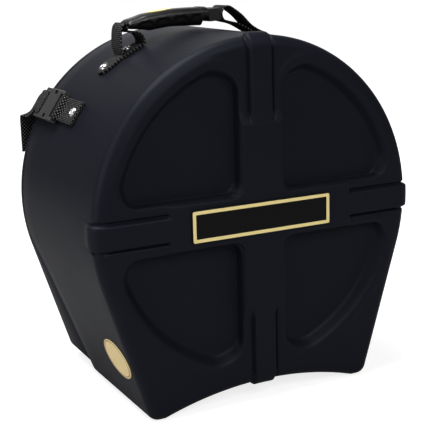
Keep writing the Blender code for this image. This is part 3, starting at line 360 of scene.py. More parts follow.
class Looks:
    """The finished materials, made once."""

    def __init__(self) -> None:
        """Make every finish."""
        self.shell = MouldedShell(
            "moulded_shell", (0.0058, 0.0063, 0.0102, 1.0), (0.0096, 0.0101, 0.0146, 1.0),
            cloud=(0.060, 3.0, 0.55), cloud_share=0.5, flecks=(0.012, 5.0, 0.65), fleck_band=(0.56, 0.80),
            fleck_share=0.3, fleck_rough=0.06, roughness=0.45, duller=0.10, specular=0.11,
            tint=(0.78, 0.86, 1.0, 1.0), relief=(0.00022, 0.55),
        ).make()
        self.plate = Finish(
            "bare_badge_plate", (0.0026, 0.0026, 0.0032, 1.0), grey(0.0042), cloud=(0.018, 4.0, 0.6),
            roughness=0.36, duller=0.14, specular=0.12, grain=(0.0006, 2.0, 0.5), relief=(0.00005, 0.5),
        ).make()
        border = (0.990, 0.810, 0.350, 1.0)
        self.border = HandledPaint("badge_border_yellow", border, dimmed(border, 0.86)).make()
        oval = (0.960, 0.750, 0.360, 1.0)
        self.oval = LinedOval("oval_plate_yellow", oval, dimmed(oval, 0.88)).make()
        self.webbing = Webbing().make()
        self.grip, self.core = (
            Finish(
                "grip_rubber", colour, grey(0.0075), cloud=(0.016, 3.0, 0.55), roughness=rough, duller=0.14,
                specular=0.36, grain=(0.0008, 3.0, 0.6), relief=(0.00012, 0.5),
            ).make()
            for colour, rough in (((0.0030, 0.0030, 0.0034, 1.0), 0.28), ((0.0085, 0.0085, 0.0095, 1.0), 0.46))
        )
        self.buckle = Finish(
            "buckle_plastic", (0.0160, 0.0160, 0.0180, 1.0), grey(0.045), cloud=(0.008, 3.0, 0.6),
            cloud_share=0.5, flecks=(0.0016, 5.0, 0.7), fleck_band=(0.58, 0.74), fleck_share=0.35,
            fleck_rough=0.10, roughness=0.34, specular=0.50, grain=(0.0007, 2.0, 0.5), relief=(0.00006, 0.5),
        ).make()
        self.steel = Finish(
            "plated_steel", (0.86, 0.86, 0.88, 1.0), grey(0.55), cloud=(0.0030, 4.0, 0.6), cloud_share=0.7,
            roughness=0.19, duller=0.12, specular=0.50, metallic=1.0, grain=(0.0009, 3.0, 0.6),
            relief=(0.00005, 0.6),
        ).make()
        self.thread = Finish(
            "sewing_thread", grey(0.006), grey(0.050), cloud=(0.0006, 3.0, 0.6), roughness=0.62,
            grain=(0.0006, 3.0, 0.6), relief=(0.00015, 0.8),
        ).make()


# Mesh work


def ring_quads(rows: Sequence[Sequence[Any]]) -> Iterator[tuple[Any, ...]]:
    """Corners of the quads between closed rings of equally many items."""
    for near, far in zip(rows, rows[1:]):
        for here in range(len(near)):
            after = (here + 1) % len(near)
            yield near[here], near[after], far[after], far[here]


class Part:
    """Makes finished pieces: one object each, at the origin, riding on a body."""

    weld: float = 0.000002
    cad_weld: float = 0.00001
    flat_angle: float = 1.5
    edge_angle: float = 28

    @staticmethod
    def from_mesh(
        name: str, mesh: bmesh.types.BMesh, look: bpy.types.Material, recalculate: bool = True
    ) -> bpy.types.Object:
        """An object from a bmesh, shaded smooth.

        Args:
            name: The piece's name.
            mesh: Its mesh, which is freed.
            look: Its material.
            recalculate: Whether its faces are turned outwards here.

        Returns:
            The object.
        """
        if recalculate:
            bmesh.ops.remove_doubles(mesh, verts=mesh.verts, dist=Part.weld)
            bmesh.ops.recalc_face_normals(mesh, faces=mesh.faces)
        data = bpy.data.meshes.new(name)
        mesh.to_mesh(data)
        mesh.free()
        data.shade_smooth()
        data.materials.append(look)
        made = bpy.data.objects.new(name, data)
        bpy.context.scene.collection.objects.link(made)
        return made

    @staticmethod
    def seat(made: bpy.types.Object, body: str, slot: str, nodes: Sequence[str]) -> bpy.types.Object:
        """Tie a piece to its body, in place of the nodes that it stands for."""
        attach(made, body)
        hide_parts(*nodes)
        LOG.info("%s: %d faces on %s", made.name, len(made.data.polygons), body)
        return made

    @staticmethod
    def loft(rings: Sequence[Sequence[Any]]) -> bmesh.types.BMesh:
        """A closed skin through rings of equally many points, filled at both ends."""
        mesh = bmesh.new()
        rows = [[mesh.verts.new(point) for point in ring] for ring in rings]
        for corners in (*ring_quads(rows), rows[0], rows[-1]):
            mesh.faces.new(corners)
        return mesh

    @staticmethod
    def bake(made: bpy.types.Object) -> bpy.types.Object:
        """Turn an object's modifiers into plain mesh."""
        bpy.context.view_layer.update()
        graph = bpy.context.evaluated_depsgraph_get()
        data = bpy.data.meshes.new_from_object(made.evaluated_get(graph))
        made.modifiers.clear()
        made.data = data
        return made

    @staticmethod
    def refined(node: str, name: str, look: bpy.types.Material, width: float, steps: int = 3) -> bpy.types.Object:
        """A merged copy of a CAD node with its edges rounded.

        Args:
            node: The CAD node.
            name: The new piece's name.
            look: Its material.
            width: Width of the rounding.
            steps: Segments of the rounding.

        Returns:
            The object.
        """
        mesh = bmesh.new()
        mesh.from_mesh(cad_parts[node].data)
        bmesh.ops.remove_doubles(mesh, verts=mesh.verts, dist=Part.cad_weld)
        flat = math.radians(Part.flat_angle)
        bmesh.ops.dissolve_limit(mesh, angle_limit=flat, verts=mesh.verts, edges=mesh.edges)
        made = Part.from_mesh(name, mesh, look)
        bevel = made.modifiers.new("rounding", "BEVEL")
        bevel.width = width
        bevel.segments = steps
        bevel.limit_method = "ANGLE"
        bevel.angle_limit = math.radians(Part.edge_angle)
        weight = made.modifiers.new("flats", "WEIGHTED_NORMAL")
        weight.keep_sharp = True
        return Part.bake(made)


def smooth(value: np.ndarray) -> np.ndarray:
    """Smooth step of an array clipped to 0..1."""
    share = np.clip(value, 0.0, 1.0)
    return share * share * (3 - 2 * share)


def arc_points(centre: Pair, radius: float, start: float, end: float, steps: int) -> list[Pair]:
    """Points on a circle between two angles, both ends included."""
    angles = np.linspace(start, end, steps + 1)
    return [(centre[0] + radius * math.cos(a), centre[1] + radius * math.sin(a)) for a in angles]


def curve_through(points: Sequence[Vector], steps: int) -> list[Vector]:
    """A smooth cubic curve through points, with the slope at each set by its neighbours.

    Args:
        points: The points.
        steps: Stations between two points.

    Returns:
        The stations.
    """
    ends = [points[0] * 2 - points[1], *points, points[-1] * 2 - points[-2]]
    made: list[Vector] = []
    for index in range(len(points) - 1):
        a, b, c, d = ends[index : index + 4]
        for step in range(steps):
            t = step / steps
            curve = b * 2 + (c - a) * t + (a * 2 - b * 5 + c * 4 - d) * t**2
            made.append((curve + (b * 3 - a - c * 3 + d) * t**3) / 2)
    made.append(points[-1].copy())
    return made


@dataclass(frozen=True)
class CaseShape:
    """Sizes of the case that its parts share."""

    centre_depth: float = 0.1326
    rim_radius: float = 0.200
    rim_height: float = 0.218
    foot_spread: float = 0.1423
    foot_width: float = 0.0175
    foot_least: float = 0.0025
    foot_rounding: float = 0.0135
    least_rounding: float = 0.0010
    belly_rise: float = 0.0196
    wall: float = 0.0040
    fillet: float = 0.0125
    flare: float = 0.0029
    mouth: float = 0.2395
    mouth_foot: float = 0.169
    slant_top: float = 0.180
    slant_bend: float = 0.25
    mouth_gap: float = 0.0005
    rear: float = 0.2603
    rear_step: float = 0.0009
    rear_foot: float = 0.0100
    clearance: float = 0.0025
    lip_front: float = 0.070
    gap: float = 0.0003

    @property
    def tangent(self) -> float:
        """Angle at which the straight walls leave the rim, on the right."""
        reach = math.hypot(self.foot_spread, self.rim_height)
        return math.acos(self.rim_radius / reach) - math.atan2(self.rim_height, self.foot_spread)

    def point(self, x: float, depth: float, z: float) -> Vector:
        """A point of the frame from one with its depth measured from the front face."""
        return Vector((x, depth - self.centre_depth, z))

    def wall_radius(self, depth: float) -> float:
        """Radius of the round wall at a depth."""
        return self.rim_radius + self.flare * (depth - self.fillet) / (self.mouth - self.fillet)

    def mouth_depth(self, height: np.ndarray) -> np.ndarray:
        """Depth of the front shell's edge at each height."""
        share = np.clip(height / self.slant_top, 0, 1)
        bent = share * (1 - self.slant_bend) + share**3 * self.slant_bend
        return self.mouth_foot + (self.mouth - self.mouth_foot) * bent

    def wall_frame(self, angle: float, depth: float, radius: float) -> Matrix:
        """Frame on the round wall: X towards smaller angles, Y into the case, Z straight out."""
        turn = math.radians(angle)
        out = Vector((math.cos(turn), 0, math.sin(turn)))
        along = Vector((math.sin(turn), 0, -math.cos(turn)))
        place = Matrix((along, Vector((0, 1, 0)), out)).transposed().to_4x4()
        place.translation = self.point(0, depth, self.rim_height) + out * radius
        return place


SHAPE = CaseShape()


@dataclass(frozen=True)
class Outline:
    """The case's outline, in fine steps that are the same for every inset."""

    shape: CaseShape = SHAPE
    arc_steps: int = 236
    wall_steps: int = 44
    corner_steps: int = 10
    belly_steps: int = 78

    def points(self, inset: float, foot: float) -> np.ndarray:
        """Points (x, z) round the case.

        Args:
            inset: Distance inside the skin.
            foot: Height at which the feet end.

        Returns:
            An array of points, starting at the top.
        """
        s = self.shape
        radius = s.rim_radius - inset
        nx, nz = math.cos(s.tangent), math.sin(s.tangent)
        rim = arc_points((0, s.rim_height), radius, math.pi / 2, s.tangent, self.arc_steps)
        heel = ((radius - nz * (foot - s.rim_height)) / nx, foot)
        spread = s.foot_spread - s.foot_width
        belly_radius = (spread**2 + s.belly_rise**2) / (2 * s.belly_rise) + inset
        belly_height = s.belly_rise + inset
        drop = belly_radius**2 - (foot - belly_height + belly_radius) ** 2
        toe = min(math.sqrt(max(drop, 0)), heel[0] - s.foot_least)
        rounding = max(s.foot_rounding - inset, s.least_rounding)
        corner = self.fillet(rim[-1], heel, (toe, foot), rounding)
        walls = np.linspace(rim[-1], corner[0], self.wall_steps + 1)[1:-1].tolist()
        sagitta = belly_height - foot
        toe_radius = (toe**2 + sagitta**2) / (2 * sagitta)
        centre = (0, belly_height - toe_radius)
        start = math.atan2(foot - centre[1], toe)
        belly = arc_points(centre, toe_radius, start, math.pi / 2, self.belly_steps)
        half = [*rim, *walls, *corner, *belly]
        return np.array([*half, *[(-x, z) for x, z in reversed(half[1:-1])]], float)

    def fillet(self, before: Pair, corner: Pair, after: Pair, radius: float) -> list[Pair]:
        """Points that round a corner of the outline."""
        here = Vector(corner)
        first = (Vector(before) - here).normalized()
        last = (Vector(after) - here).normalized()
        half = first.angle(last) / 2
        centre = here + (first + last).normalized() * (radius / math.sin(half))
        start = here + first * (radius / math.tan(half)) - centre
        end = here + last * (radius / math.tan(half)) - centre
        turn = start.angle(end)
        points = []
        for step in range(self.corner_steps + 1):
            share = step / self.corner_steps
            mixed = start * math.sin((1 - share) * turn) + end * math.sin(share * turn)
            points.append(tuple(centre + mixed / math.sin(turn)))
        return points


@dataclass(frozen=True)
class FaceForm:
    """Ribs, cross pads and recesses of a moulded face, as heights over its flat."""

    shape: CaseShape = SHAPE
    rib_half: float = 0.0128
    rib_proud: float = 0.0034
    rib_side: float = 0.0017
    groove_place: float = 0.0153
    groove_half: float = 0.0013
    groove_depth: float = 0.0027
    pad_proud: float = 0.0040
    pad_half: float = 0.0253
    pad_tall: float = 0.104
    pad_tall_slope: float = 0.0135
    pad_wide: float = 0.113
    pad_wide_slope: float = 0.0045
    pad_flare: float = 0.0055
    pad_corner: float = 0.0125
    recess_radius: float = 0.1795
    recess_side: float = 0.0275
    recess_depth: float = 0.0120
    arc_slope: float = 0.0110
    side_slope: float = 0.0014
    tall_rounding: float = 0.030
    wide_rounding: float = 0.023
    inner_rounding: float = 0.014
    least_step: float = 1e-7
    arc_steps: int = 40
    outer_steps: int = 24
    inner_steps: int = 20
    brow: float = 0.0006
    shoulder_reach: float = 0.0085
    shoulder_rise: float = 0.0007
    shoulder_lead: float = 0.003
    shoulder_ease: float = 0.004
    shoulder_from: float = 0.02
    rib_from: float = 0.05
    rib_ease: float = 0.0004
    rib_stop: float = 0.003
    pad_ease: float = 0.0006
    pad_side: float = 0.0024
    backing_lead: float = 0.001
    backing_ease: float = 0.006
    turned_over: bool = True

    def wedge(self) -> np.ndarray:
        """Fine outline of the recess in the first quadrant, anticlockwise."""
        r, s = self.recess_radius, self.recess_side
        tall, wide, inner = self.tall_rounding, self.wide_rounding, self.inner_rounding
        tall_c = (s + tall, math.sqrt((r - tall) ** 2 - (s + tall) ** 2))
        wide_c = (math.sqrt((r - wide) ** 2 - (s + wide) ** 2), s + wide)
        tall_a, wide_a = math.atan2(tall_c[1], tall_c[0]), math.atan2(wide_c[1], wide_c[0])
        points = arc_points((0, 0), r, wide_a, tall_a, self.arc_steps)
        points += arc_points(tall_c, tall, tall_a, math.pi, self.outer_steps)[1:]
        points += arc_points((s + inner, s + inner), inner, math.pi, math.pi * 1.5, self.inner_steps)
        points += arc_points(wide_c, wide, -math.pi / 2, wide_a, self.outer_steps)[:-1]
        return np.array(points, float)

    def inside(self, x: np.ndarray, z: np.ndarray) -> tuple[np.ndarray, np.ndarray]:
        """Distance inside the nearest recess, and how much of its nearest side is the round one."""
        loop = self.wedge()
        step = np.roll(loop, -1, 0) - loop
        length = np.linalg.norm(step, axis=1)
        keep = length > self.least_step
        start, step = loop[keep], step[keep] / length[keep][:, None]
        normal = np.stack([-step[:, 1], step[:, 0]], 1)
        middle = start / np.linalg.norm(start, axis=1)[:, None]
        round_share = np.clip(-(middle * normal).sum(1), 0, 1)
        points = np.stack([np.abs(x), np.abs(z)], 1)
        depth = points @ normal.T - (start * normal).sum(1)[None, :]
        nearest = depth.argmin(1)
        return depth.min(1), round_share[nearest]

    def rib(self, x: np.ndarray, z: np.ndarray) -> np.ndarray:
        """Height of the four ribs and the grooves beside them; x and z are about the rim's centre."""
        s = self.shape
        made = np.zeros_like(x)
        reach = s.rim_radius - s.fillet - self.rib_proud
        low_reach = s.rim_height - s.belly_rise - s.fillet - self.rib_proud
        for across, along, limit in ((x, z, np.where(z > 0, reach, low_reach)), (z, np.abs(x), reach)):
            away = np.abs(across)
            stay = np.ones_like(x) if self.turned_over else 1 - smooth((np.abs(along) - limit) / self.rib_stop)
            top = (1 - smooth((away - self.rib_half + self.rib_ease) / self.rib_side)) * self.rib_proud * stay
            groove = np.exp(-(((away - self.groove_place) / self.groove_half) ** 2)) * self.groove_depth * stay
            made = np.where(np.abs(along) > self.rib_from, np.maximum(made, top) - groove, made)
        return made

    def pads(self, x: np.ndarray, z: np.ndarray) -> np.ndarray:
        """Share of the cross pads' height: round inner corners, and tall ends that flare as they slope."""
        tall = np.clip((np.abs(z) - self.pad_tall) / self.pad_tall_slope, 0, 1)
        wide = np.clip((np.abs(x) - self.pad_wide) / self.pad_wide_slope, 0, 1)
        beside = np.abs(x) - self.pad_half - self.pad_flare * tall
        above = np.abs(z) - self.pad_half
        round_x, round_z = self.pad_corner - beside, self.pad_corner - above
        corner = (round_x > 0) & (round_z > 0)
        outside = np.where(corner, self.pad_corner - np.hypot(round_x, round_z), np.minimum(beside, above))
        side = 1 - smooth((outside + self.pad_ease) / self.pad_side)
        return side * np.minimum(1 - tall, 1 - wide * 0.7 - smooth(wide) * 0.3)

    def height(self, x: np.ndarray, height: np.ndarray) -> np.ndarray:
        """Height of the whole face over its flat, towards the viewer.

        Args:
            x: Places across.
            height: Heights above the floor.

        Returns:
            The heights over the flat, negative in the recesses.
        """
        z = height - self.shape.rim_height
        pads = self.pads(x, z)
        rib = self.rib(x, z)
        grooves = np.minimum(rib, 0) * (1 - np.clip(pads * 1.3, 0, 1))
        proud = np.maximum(np.maximum(rib, 0), pads * self.pad_proud) + grooves
        depth, round_share = self.inside(x, z)
        width = self.side_slope + (self.arc_slope - self.side_slope) * smooth(round_share * 1.2 - 0.1)
        sunk = smooth((depth + self.brow) / (width + 2 * self.brow))
        ease = self.shoulder_ease
        lip = smooth((depth + self.shoulder_reach + self.shoulder_lead) / ease) * (1 - smooth((depth + ease) / ease))
        proud += lip * self.shoulder_rise * (1 - np.clip(pads * 2, 0, 1)) * (np.abs(x) > self.shoulder_from)
        return proud * (1 - sunk) - self.recess_depth * sunk

    def backing(self, x: np.ndarray, height: np.ndarray) -> np.ndarray:
        """Depth of the recesses' walls inside the shell."""
        depth, _ = self.inside(x, height - self.shape.rim_height)
        into = depth + self.shape.wall + self.backing_lead
        return self.recess_depth * smooth(into / (self.side_slope + self.backing_ease))


@dataclass
class Shell:
    """A moulded shell: a detailed face, a round edge, walls from rings, and the inside of the face.

    The face's edge starts at an inset and a foot height; into is the way along the depth to its inside.
    """

    form: FaceForm
    outline: Outline = Outline()
    shape: CaseShape = SHAPE
    body: str = ""
    inset: float = 0.0
    foot: float = 0.0
    face: float = 0.0
    into: int = 1
    edge_steps: int = 10
    inner_steps: int = 4
    plan_weld: float = 1e-9
    grid_half: float = 0.2
    grid_step: float = 0.0021
    inner_step: float = 0.0055
    grid_inset: float = 0.0012
    inner_inset: float = 0.0020
    fine_bands: tuple[Triple, ...] = (
        (0.0105, 0.0185, 0.0006), (0.0235, 0.0265, 0.0008), (0.0265, 0.0305, 0.0005),
    )

    @staticmethod
    def stations(limit: float, bands: Sequence[Triple], coarse: float) -> np.ndarray:
        """Places of grid lines, finer inside some bands.

        Args:
            limit: Half the grid's width.
            bands: (from, to, step) on each side of the middle.
            coarse: Step elsewhere.

        Returns:
            The places, from low to high.
        """
        places, here = [0.0], 0.0
        while here < limit:
            step = next((fine for low, high, fine in bands if low <= here < high), coarse)
            here += step
            places.append(here)
        return np.array([-p for p in reversed(places[1:])] + places)

    @staticmethod
    def within(points: np.ndarray, loop: np.ndarray) -> np.ndarray:
        """Whether each point lies inside a closed outline."""
        made = np.zeros(len(points), bool)
        x, z = points[:, 0], points[:, 1]
        for (x0, z0), (x1, z1) in zip(loop, np.roll(loop, -1, 0)):
            if z0 != z1:
                crosses = (z0 > z) != (z1 > z)
                made ^= crosses & (x < (x1 - x0) * (z - z0) / (z1 - z0) + x0)
        return made

    def filled(self, ring: np.ndarray, inner: np.ndarray, fine: bool) -> tuple[np.ndarray, list[list[int]]]:
        """A face's plan: the ring and grid points inside it, as triangles.

        Args:
            ring: The face's edge.
            inner: The same edge a little further in, which bounds the grid.
            fine: Whether grid lines follow the ribs and pads.

        Returns:
            Points and triangles; the ring's points come first.
        """
        bands, step = (self.fine_bands, self.grid_step) if fine else ((), self.inner_step)
        places = self.stations(self.grid_half, bands, step)
        grid = np.stack(np.meshgrid(places, places + self.shape.rim_height), -1).reshape(-1, 2)
        grid = grid[self.within(grid, inner)]
        points = np.vstack([ring, grid])
        count = len(ring)
        edges = [(index, (index + 1) % count) for index in range(count)]
        made = delaunay_2d_cdt([Vector(p) for p in points], edges, [], 1, self.plan_weld)
        return np.array([tuple(v) for v in made[0]], float), [list(face) for face in made[2]]

    def ring(self, inset: float, foot: float, depth: Union[float, Callable], rise: float = 0.0) -> np.ndarray:
        """One ring of the wall in case space; depth may be a rule for each height.

        Args:
            inset: Distance inside the skin.
            foot: Height of the foot.
            depth: Depth from the front face, or a function of height.
            rise: Share of the ribs' height that stands out here.

        Returns:
            An array of (x, depth, z).
        """
        flat = self.outline.points(inset, foot)
        depths = depth(flat[:, 1]) if callable(depth) else np.full(len(flat), depth)
        if rise:
            tangent = np.roll(flat, -1, 0) - np.roll(flat, 1, 0)
            tangent /= np.linalg.norm(tangent, axis=1)[:, None]
            out = np.stack([-tangent[:, 1], tangent[:, 0]], 1)
            height = self.form.rib(flat[:, 0], flat[:, 1] - self.shape.rim_height)
            flat = flat + out * (height * rise)[:, None]
        return np.stack([flat[:, 0], depths, flat[:, 1]], 1)

    def edge_rings(self, inward: float, radius: float, steps: int, ribs: bool) -> list[np.ndarray]:
        """Rings round a face's edge, from the face to the wall.

        Args:
            inward: How far under the skin they lie.
            radius: Radius of the round edge.
            steps: Steps round it.
            ribs: Whether the ribs run over it.

        Returns:
            The rings.
        """
        rings = []
        for step in range(steps + 1):
            turn = math.pi / 2 * step / steps
            pulled = radius * (1 - math.sin(turn))
            inset, foot = self.inset + inward + pulled, self.foot + inward + pulled
            depth = self.face + self.into * (inward + radius * (1 - math.cos(turn)))
            ring = self.ring(inset, foot, depth, math.sin(turn) if ribs else 0.0)
            if ribs:
                flat = self.outline.points(inset, foot)
                height = self.form.rib(flat[:, 0], flat[:, 1] - self.shape.rim_height)
                ring[:, 1] -= self.into * height * math.cos(turn)
            rings.append(ring)
        return rings

    def mouth(self, extra: float) -> Callable[[np.ndarray], np.ndarray]:
        """Depths by height along the slanted mouth, with an extra."""
        return lambda height: self.shape.mouth_depth(height) + extra

    def plan(self, ring: np.ndarray, fine: bool) -> tuple[np.ndarray, list[list[int]], np.ndarray]:
        """Plan points, triangles and depths of the face's outside (fine) or inside."""
        inset = self.grid_inset if fine else self.inner_inset
        edge, foot = self.shape.fillet + self.inset, self.foot + self.shape.fillet
        plan, triangles = self.filled(ring[:, ::2], self.outline.points(edge + inset, foot + inset), fine)
        x, height = plan[:, 0], plan[:, 1]
        rise = -self.form.height(x, height) if fine else self.shape.wall + self.form.backing(x, height)
        return plan, triangles, self.face + self.into * rise

    def walls(self) -> list[np.ndarray]:
        """Rings from the round edge round the mouth to the inside; each shell gives its own."""
        raise NotImplementedError

    def build(self, look: bpy.types.Material) -> bpy.types.Object:
        """Make the shell and seat it."""
        s = self.shape
        skin = self.edge_rings(0.0, s.fillet, self.edge_steps, self.form.turned_over)
        skin[0][:, 1] = self.face - self.into * self.form.height(skin[0][:, 0], skin[0][:, 2])
        inner = self.edge_rings(s.wall, s.fillet - s.wall, self.inner_steps, False)
        rings = skin + self.walls() + inner[::-1]
        name = self.body.replace("case", "shell")
        made = self.joined(f"{name}_skin", rings, look, (self.plan(skin[0], True), self.plan(inner[0], False)))
        return Part.seat(made, self.body, "shell_plastic", [name])

    def joined(
        self, name: str, rings: list[np.ndarray], look: bpy.types.Material,
        faces: Sequence[tuple[np.ndarray, list[list[int]], np.ndarray]],
    ) -> bpy.types.Object:
        """One closed body from wall rings and the plans at both ends.

        Args:
            name: The piece's name.
            rings: Rings from the outer face's edge round the mouth to the inner face's edge.
            look: The material.
            faces: For the outer and inner face: plan points, triangles and depths.

        Returns:
            The object.
        """
        count = len(rings[0])
        places = list(rings)
        rows = np.arange(len(rings) * count).reshape(-1, count).tolist()
        polygons = [list(corners) for corners in ring_quads(rows)]
        offset = len(rings) * count
        for (plan, triangles, depths), base in zip(faces, (0, (len(rings) - 1) * count)):
            rest = plan[count:]
            places.append(np.stack([rest[:, 0], depths[count:], rest[:, 1]], 1))
            shift = offset - count
            for triangle in triangles:
                polygons.append([base + i if i < count else shift + i for i in triangle])
            offset += len(rest)
        vertices = np.vstack(places)
        vertices[:, 1] -= self.shape.centre_depth
        data = bpy.data.meshes.new(name)
        data.from_pydata(vertices.tolist(), [], polygons)
        mesh = bmesh.new()
        mesh.from_mesh(data)
        bpy.data.meshes.remove(data)
        return Part.from_mesh(name, mesh, look)


@dataclass
class FrontShell(Shell):
    """The lid: face with cross pads, round edge, flared wall and slanted mouth."""

    body: str = "front_case"
    ease: float = 0.0012
    ease_share: float = 0.3
    wall_shares: tuple[Pair, ...] = (
        (0.004, 1.0), (0.010, 0.25), (0.016, 0.0), (0.1, 0.0), (0.3, 0.0), (0.5, 0.0), (0.7, 0.0), (0.88, 0.0),
    )

    def walls(self) -> list[np.ndarray]:
        """The flared wall, with its share of the ribs, and the round lip of the mouth."""
        s, ease, round_ease = self.shape, self.ease, self.ease * self.ease_share
        rings = []
        for share, rise in self.wall_shares:
            def depth(height: np.ndarray, share: float = share) -> np.ndarray:
                """Depths at a share of the way to the mouth."""
                return s.fillet + (s.mouth_depth(height) - s.fillet - ease) * share
            rings.append(self.ring(-s.flare * share, 0, depth, rise))
        for inset, back in (
            (0, ease), (round_ease, round_ease), (ease, 0),
            (s.wall - ease, 0), (s.wall - round_ease, round_ease), (s.wall, ease),
        ):
            rings.append(self.ring(inset - s.flare, inset, self.mouth(-back)))
        return rings


@dataclass
class RearShell(Shell):
    """The body: the same face at the rear, a band that shows, and the lip that slides in the lid."""

    body: str = "rear_case"
    inset: float = SHAPE.rear_step - SHAPE.flare
    foot: float = SHAPE.rear_foot
    face: float = SHAPE.rear
    into: int = -1
    ease: float = 0.0010

    def walls(self) -> list[np.ndarray]:
        """The band, the step at the mouth, the lip and the inside of both."""
        s, ease, band, foot = self.shape, self.ease, self.inset, self.foot
        low = foot + max(foot - s.rear_step, 0)
        rear = s.wall + s.clearance - s.flare
        front = s.wall + s.clearance + s.rim_radius - s.wall_radius(s.lip_front)
        gap, back = s.mouth_gap, s.mouth_gap + s.wall
        return [
            self.ring(*one)
            for one in (
                (band, foot, self.mouth(gap + ease)),
                (band + ease, foot + ease, self.mouth(gap)),
                (rear, low, self.mouth(gap)),
                (rear, low, self.mouth(gap - ease)),
                ((rear + front) / 2, low, lambda height: (s.mouth_depth(height) + s.lip_front) / 2),
                (front, low, s.lip_front + ease),
                (front + ease, low + ease, s.lip_front),
                (front + s.wall - ease, low + s.wall - ease, s.lip_front),
                (front + s.wall, low + s.wall, s.lip_front + ease),
                (rear + s.wall, low + s.wall, self.mouth(back)),
                (band + s.wall, foot + s.wall, self.mouth(back)),
            )
        ]


# Webbing


@dataclass(frozen=True)
class Tape:
    """Flat woven webbing along a route, with round edges and a map in metres."""

    width: float
    thickness: float
    edge_steps: int = 3
    roundness: float = 0.98

    def section(self) -> list[Pair]:
        """Outline of the cut across, from the lower left edge round."""
        half, radius = self.width / 2, self.thickness / 2 * self.roundness
        points: list[Pair] = []
        for sign, start in ((1, -math.pi / 2), (-1, math.pi / 2)):
            centre = (sign * (half - radius), 0.0)
            points += arc_points(centre, radius, start, start + math.pi, self.edge_steps)
            points += [(sign * share * half, sign * radius) for share in (0.5, 0.0, -0.5)]
        return points

    def mesh(
        self, route: Sequence[Vector], across: Sequence[Vector], widths: Optional[Sequence[float]] = None,
        into: Optional[bmesh.types.BMesh] = None, start: float = 0.0,
    ) -> bmesh.types.BMesh:
        """Webbing along a route.

        Args:
            route: Its middle line.
            across: The way across it at each station.
            widths: Share of the width at each station.
            into: A mesh to add to.
            start: Length along the map at the first station.

        Returns:
            The mesh, with a UV map in metres.
        """
        mesh = into or bmesh.new()
        layer = mesh.loops.layers.uv.verify()
        cut = self.section()
        rows, travelled = [], start
        for index, point in enumerate(route):
            before, after = route[max(index - 1, 0)], route[min(index + 1, len(route) - 1)]
            side = across[index].normalized()
            up = (after - before).normalized().cross(side).normalized()
            side = up.cross(after - before).normalized() if side.dot(up.cross(after - before)) > 0 else side
            share = widths[index] if widths else 1.0
            travelled += (point - route[index - 1]).length if index else 0.0
            places = [point + side * (x * share) + up * z for x, z in cut]
            rows.append([(mesh.verts.new(place), x, travelled) for place, (x, _) in zip(places, cut)])
        for corners in ring_quads(rows):
            face = mesh.faces.new([corner[0] for corner in corners])
            for loop, (_, x, along) in zip(face.loops, corners):
                loop[layer].uv = (x, along)
        for row in (rows[0], rows[-1]):
            face = mesh.faces.new([corner[0] for corner in row])
            for loop, (_, x, along), (_, z) in zip(face.loops, row, cut):
                loop[layer].uv = (x, along + z)
        return mesh


# Rivets and stitches, by Geometry Nodes


class PointTree(Tree):
    """A Geometry Nodes tree that sets one shape on every point of a mesh."""

    def __init__(self, name: str, sizes: dict[str, float]) -> None:
        """Start the tree with its named inputs."""
        super().__init__(bpy.data.node_groups.new(name, "GeometryNodeTree"))
        self.sizes = sizes
        sockets = self.tree.interface
        sockets.new_socket("Geometry", in_out="INPUT", socket_type="NodeSocketGeometry")
        for key, value in sizes.items():
            sockets.new_socket(key, in_out="INPUT", socket_type="NodeSocketFloat").default_value = value
        sockets.new_socket("Geometry", in_out="OUTPUT", socket_type="NodeSocketGeometry")
        self.points, *self.start = self.wires("NodeGroupInput", ("Geometry", *sizes))

    def close(self, shape: Wire, ways: Sequence[tuple[str, str]], look: bpy.types.Material) -> None:
        """Set the shape on the points as real mesh.

        Args:
            shape: The shape.
            ways: Attributes of the points and the axes of the shape that turn to them, in order.
            look: Its material.
        """
        turned: dict[str, Wire] = {}
        for key, axis in ways:
            way = self.wire("GeometryNodeInputNamedAttribute", {"Name": key}, data_type="FLOAT_VECTOR")
            aim, pivot = {"Vector": way, **turned}, "Z" if turned else "AUTO"
            turned["Rotation"] = self.wire("FunctionNodeAlignRotationToVector", aim, axis=axis, pivot_axis=pivot)
        placed = self.wire("GeometryNodeInstanceOnPoints", {"Points": self.points, "Instance": shape, **turned})
        real = self.wire("GeometryNodeRealizeInstances", {"Geometry": placed})
        self.add("NodeGroupOutput", {0: self.wire("GeometryNodeSetMaterial", {"Geometry": real, "Material": look})})

    def on_points(self, name: str, points: Sequence[Vector], ways: dict[str, Sequence[Vector]]) -> bpy.types.Object:
        """A piece with the shape on every point.

        Args:
            name: The piece's name.
            points: The points.
            ways: Directions at the points, by attribute.

        Returns:
            The object, as plain mesh.
        """
        data = bpy.data.meshes.new(name)
        data.from_pydata([tuple(point) for point in points], [], [])
        for key, vectors in ways.items():
            marks = data.attributes.new(key, "FLOAT_VECTOR", "POINT")
            for index, vector in enumerate(vectors):
                marks.data[index].vector = vector
        made = bpy.data.objects.new(name, data)
        bpy.context.scene.collection.objects.link(made)
        step = made.modifiers.new("on_points", "NODES")
        step.node_group = self.tree
        for item in self.tree.interface.items_tree:
            if item.name in self.sizes:
                step[item.identifier] = self.sizes[item.name]
        Part.bake(made)
        made.data.shade_smooth()
        return made


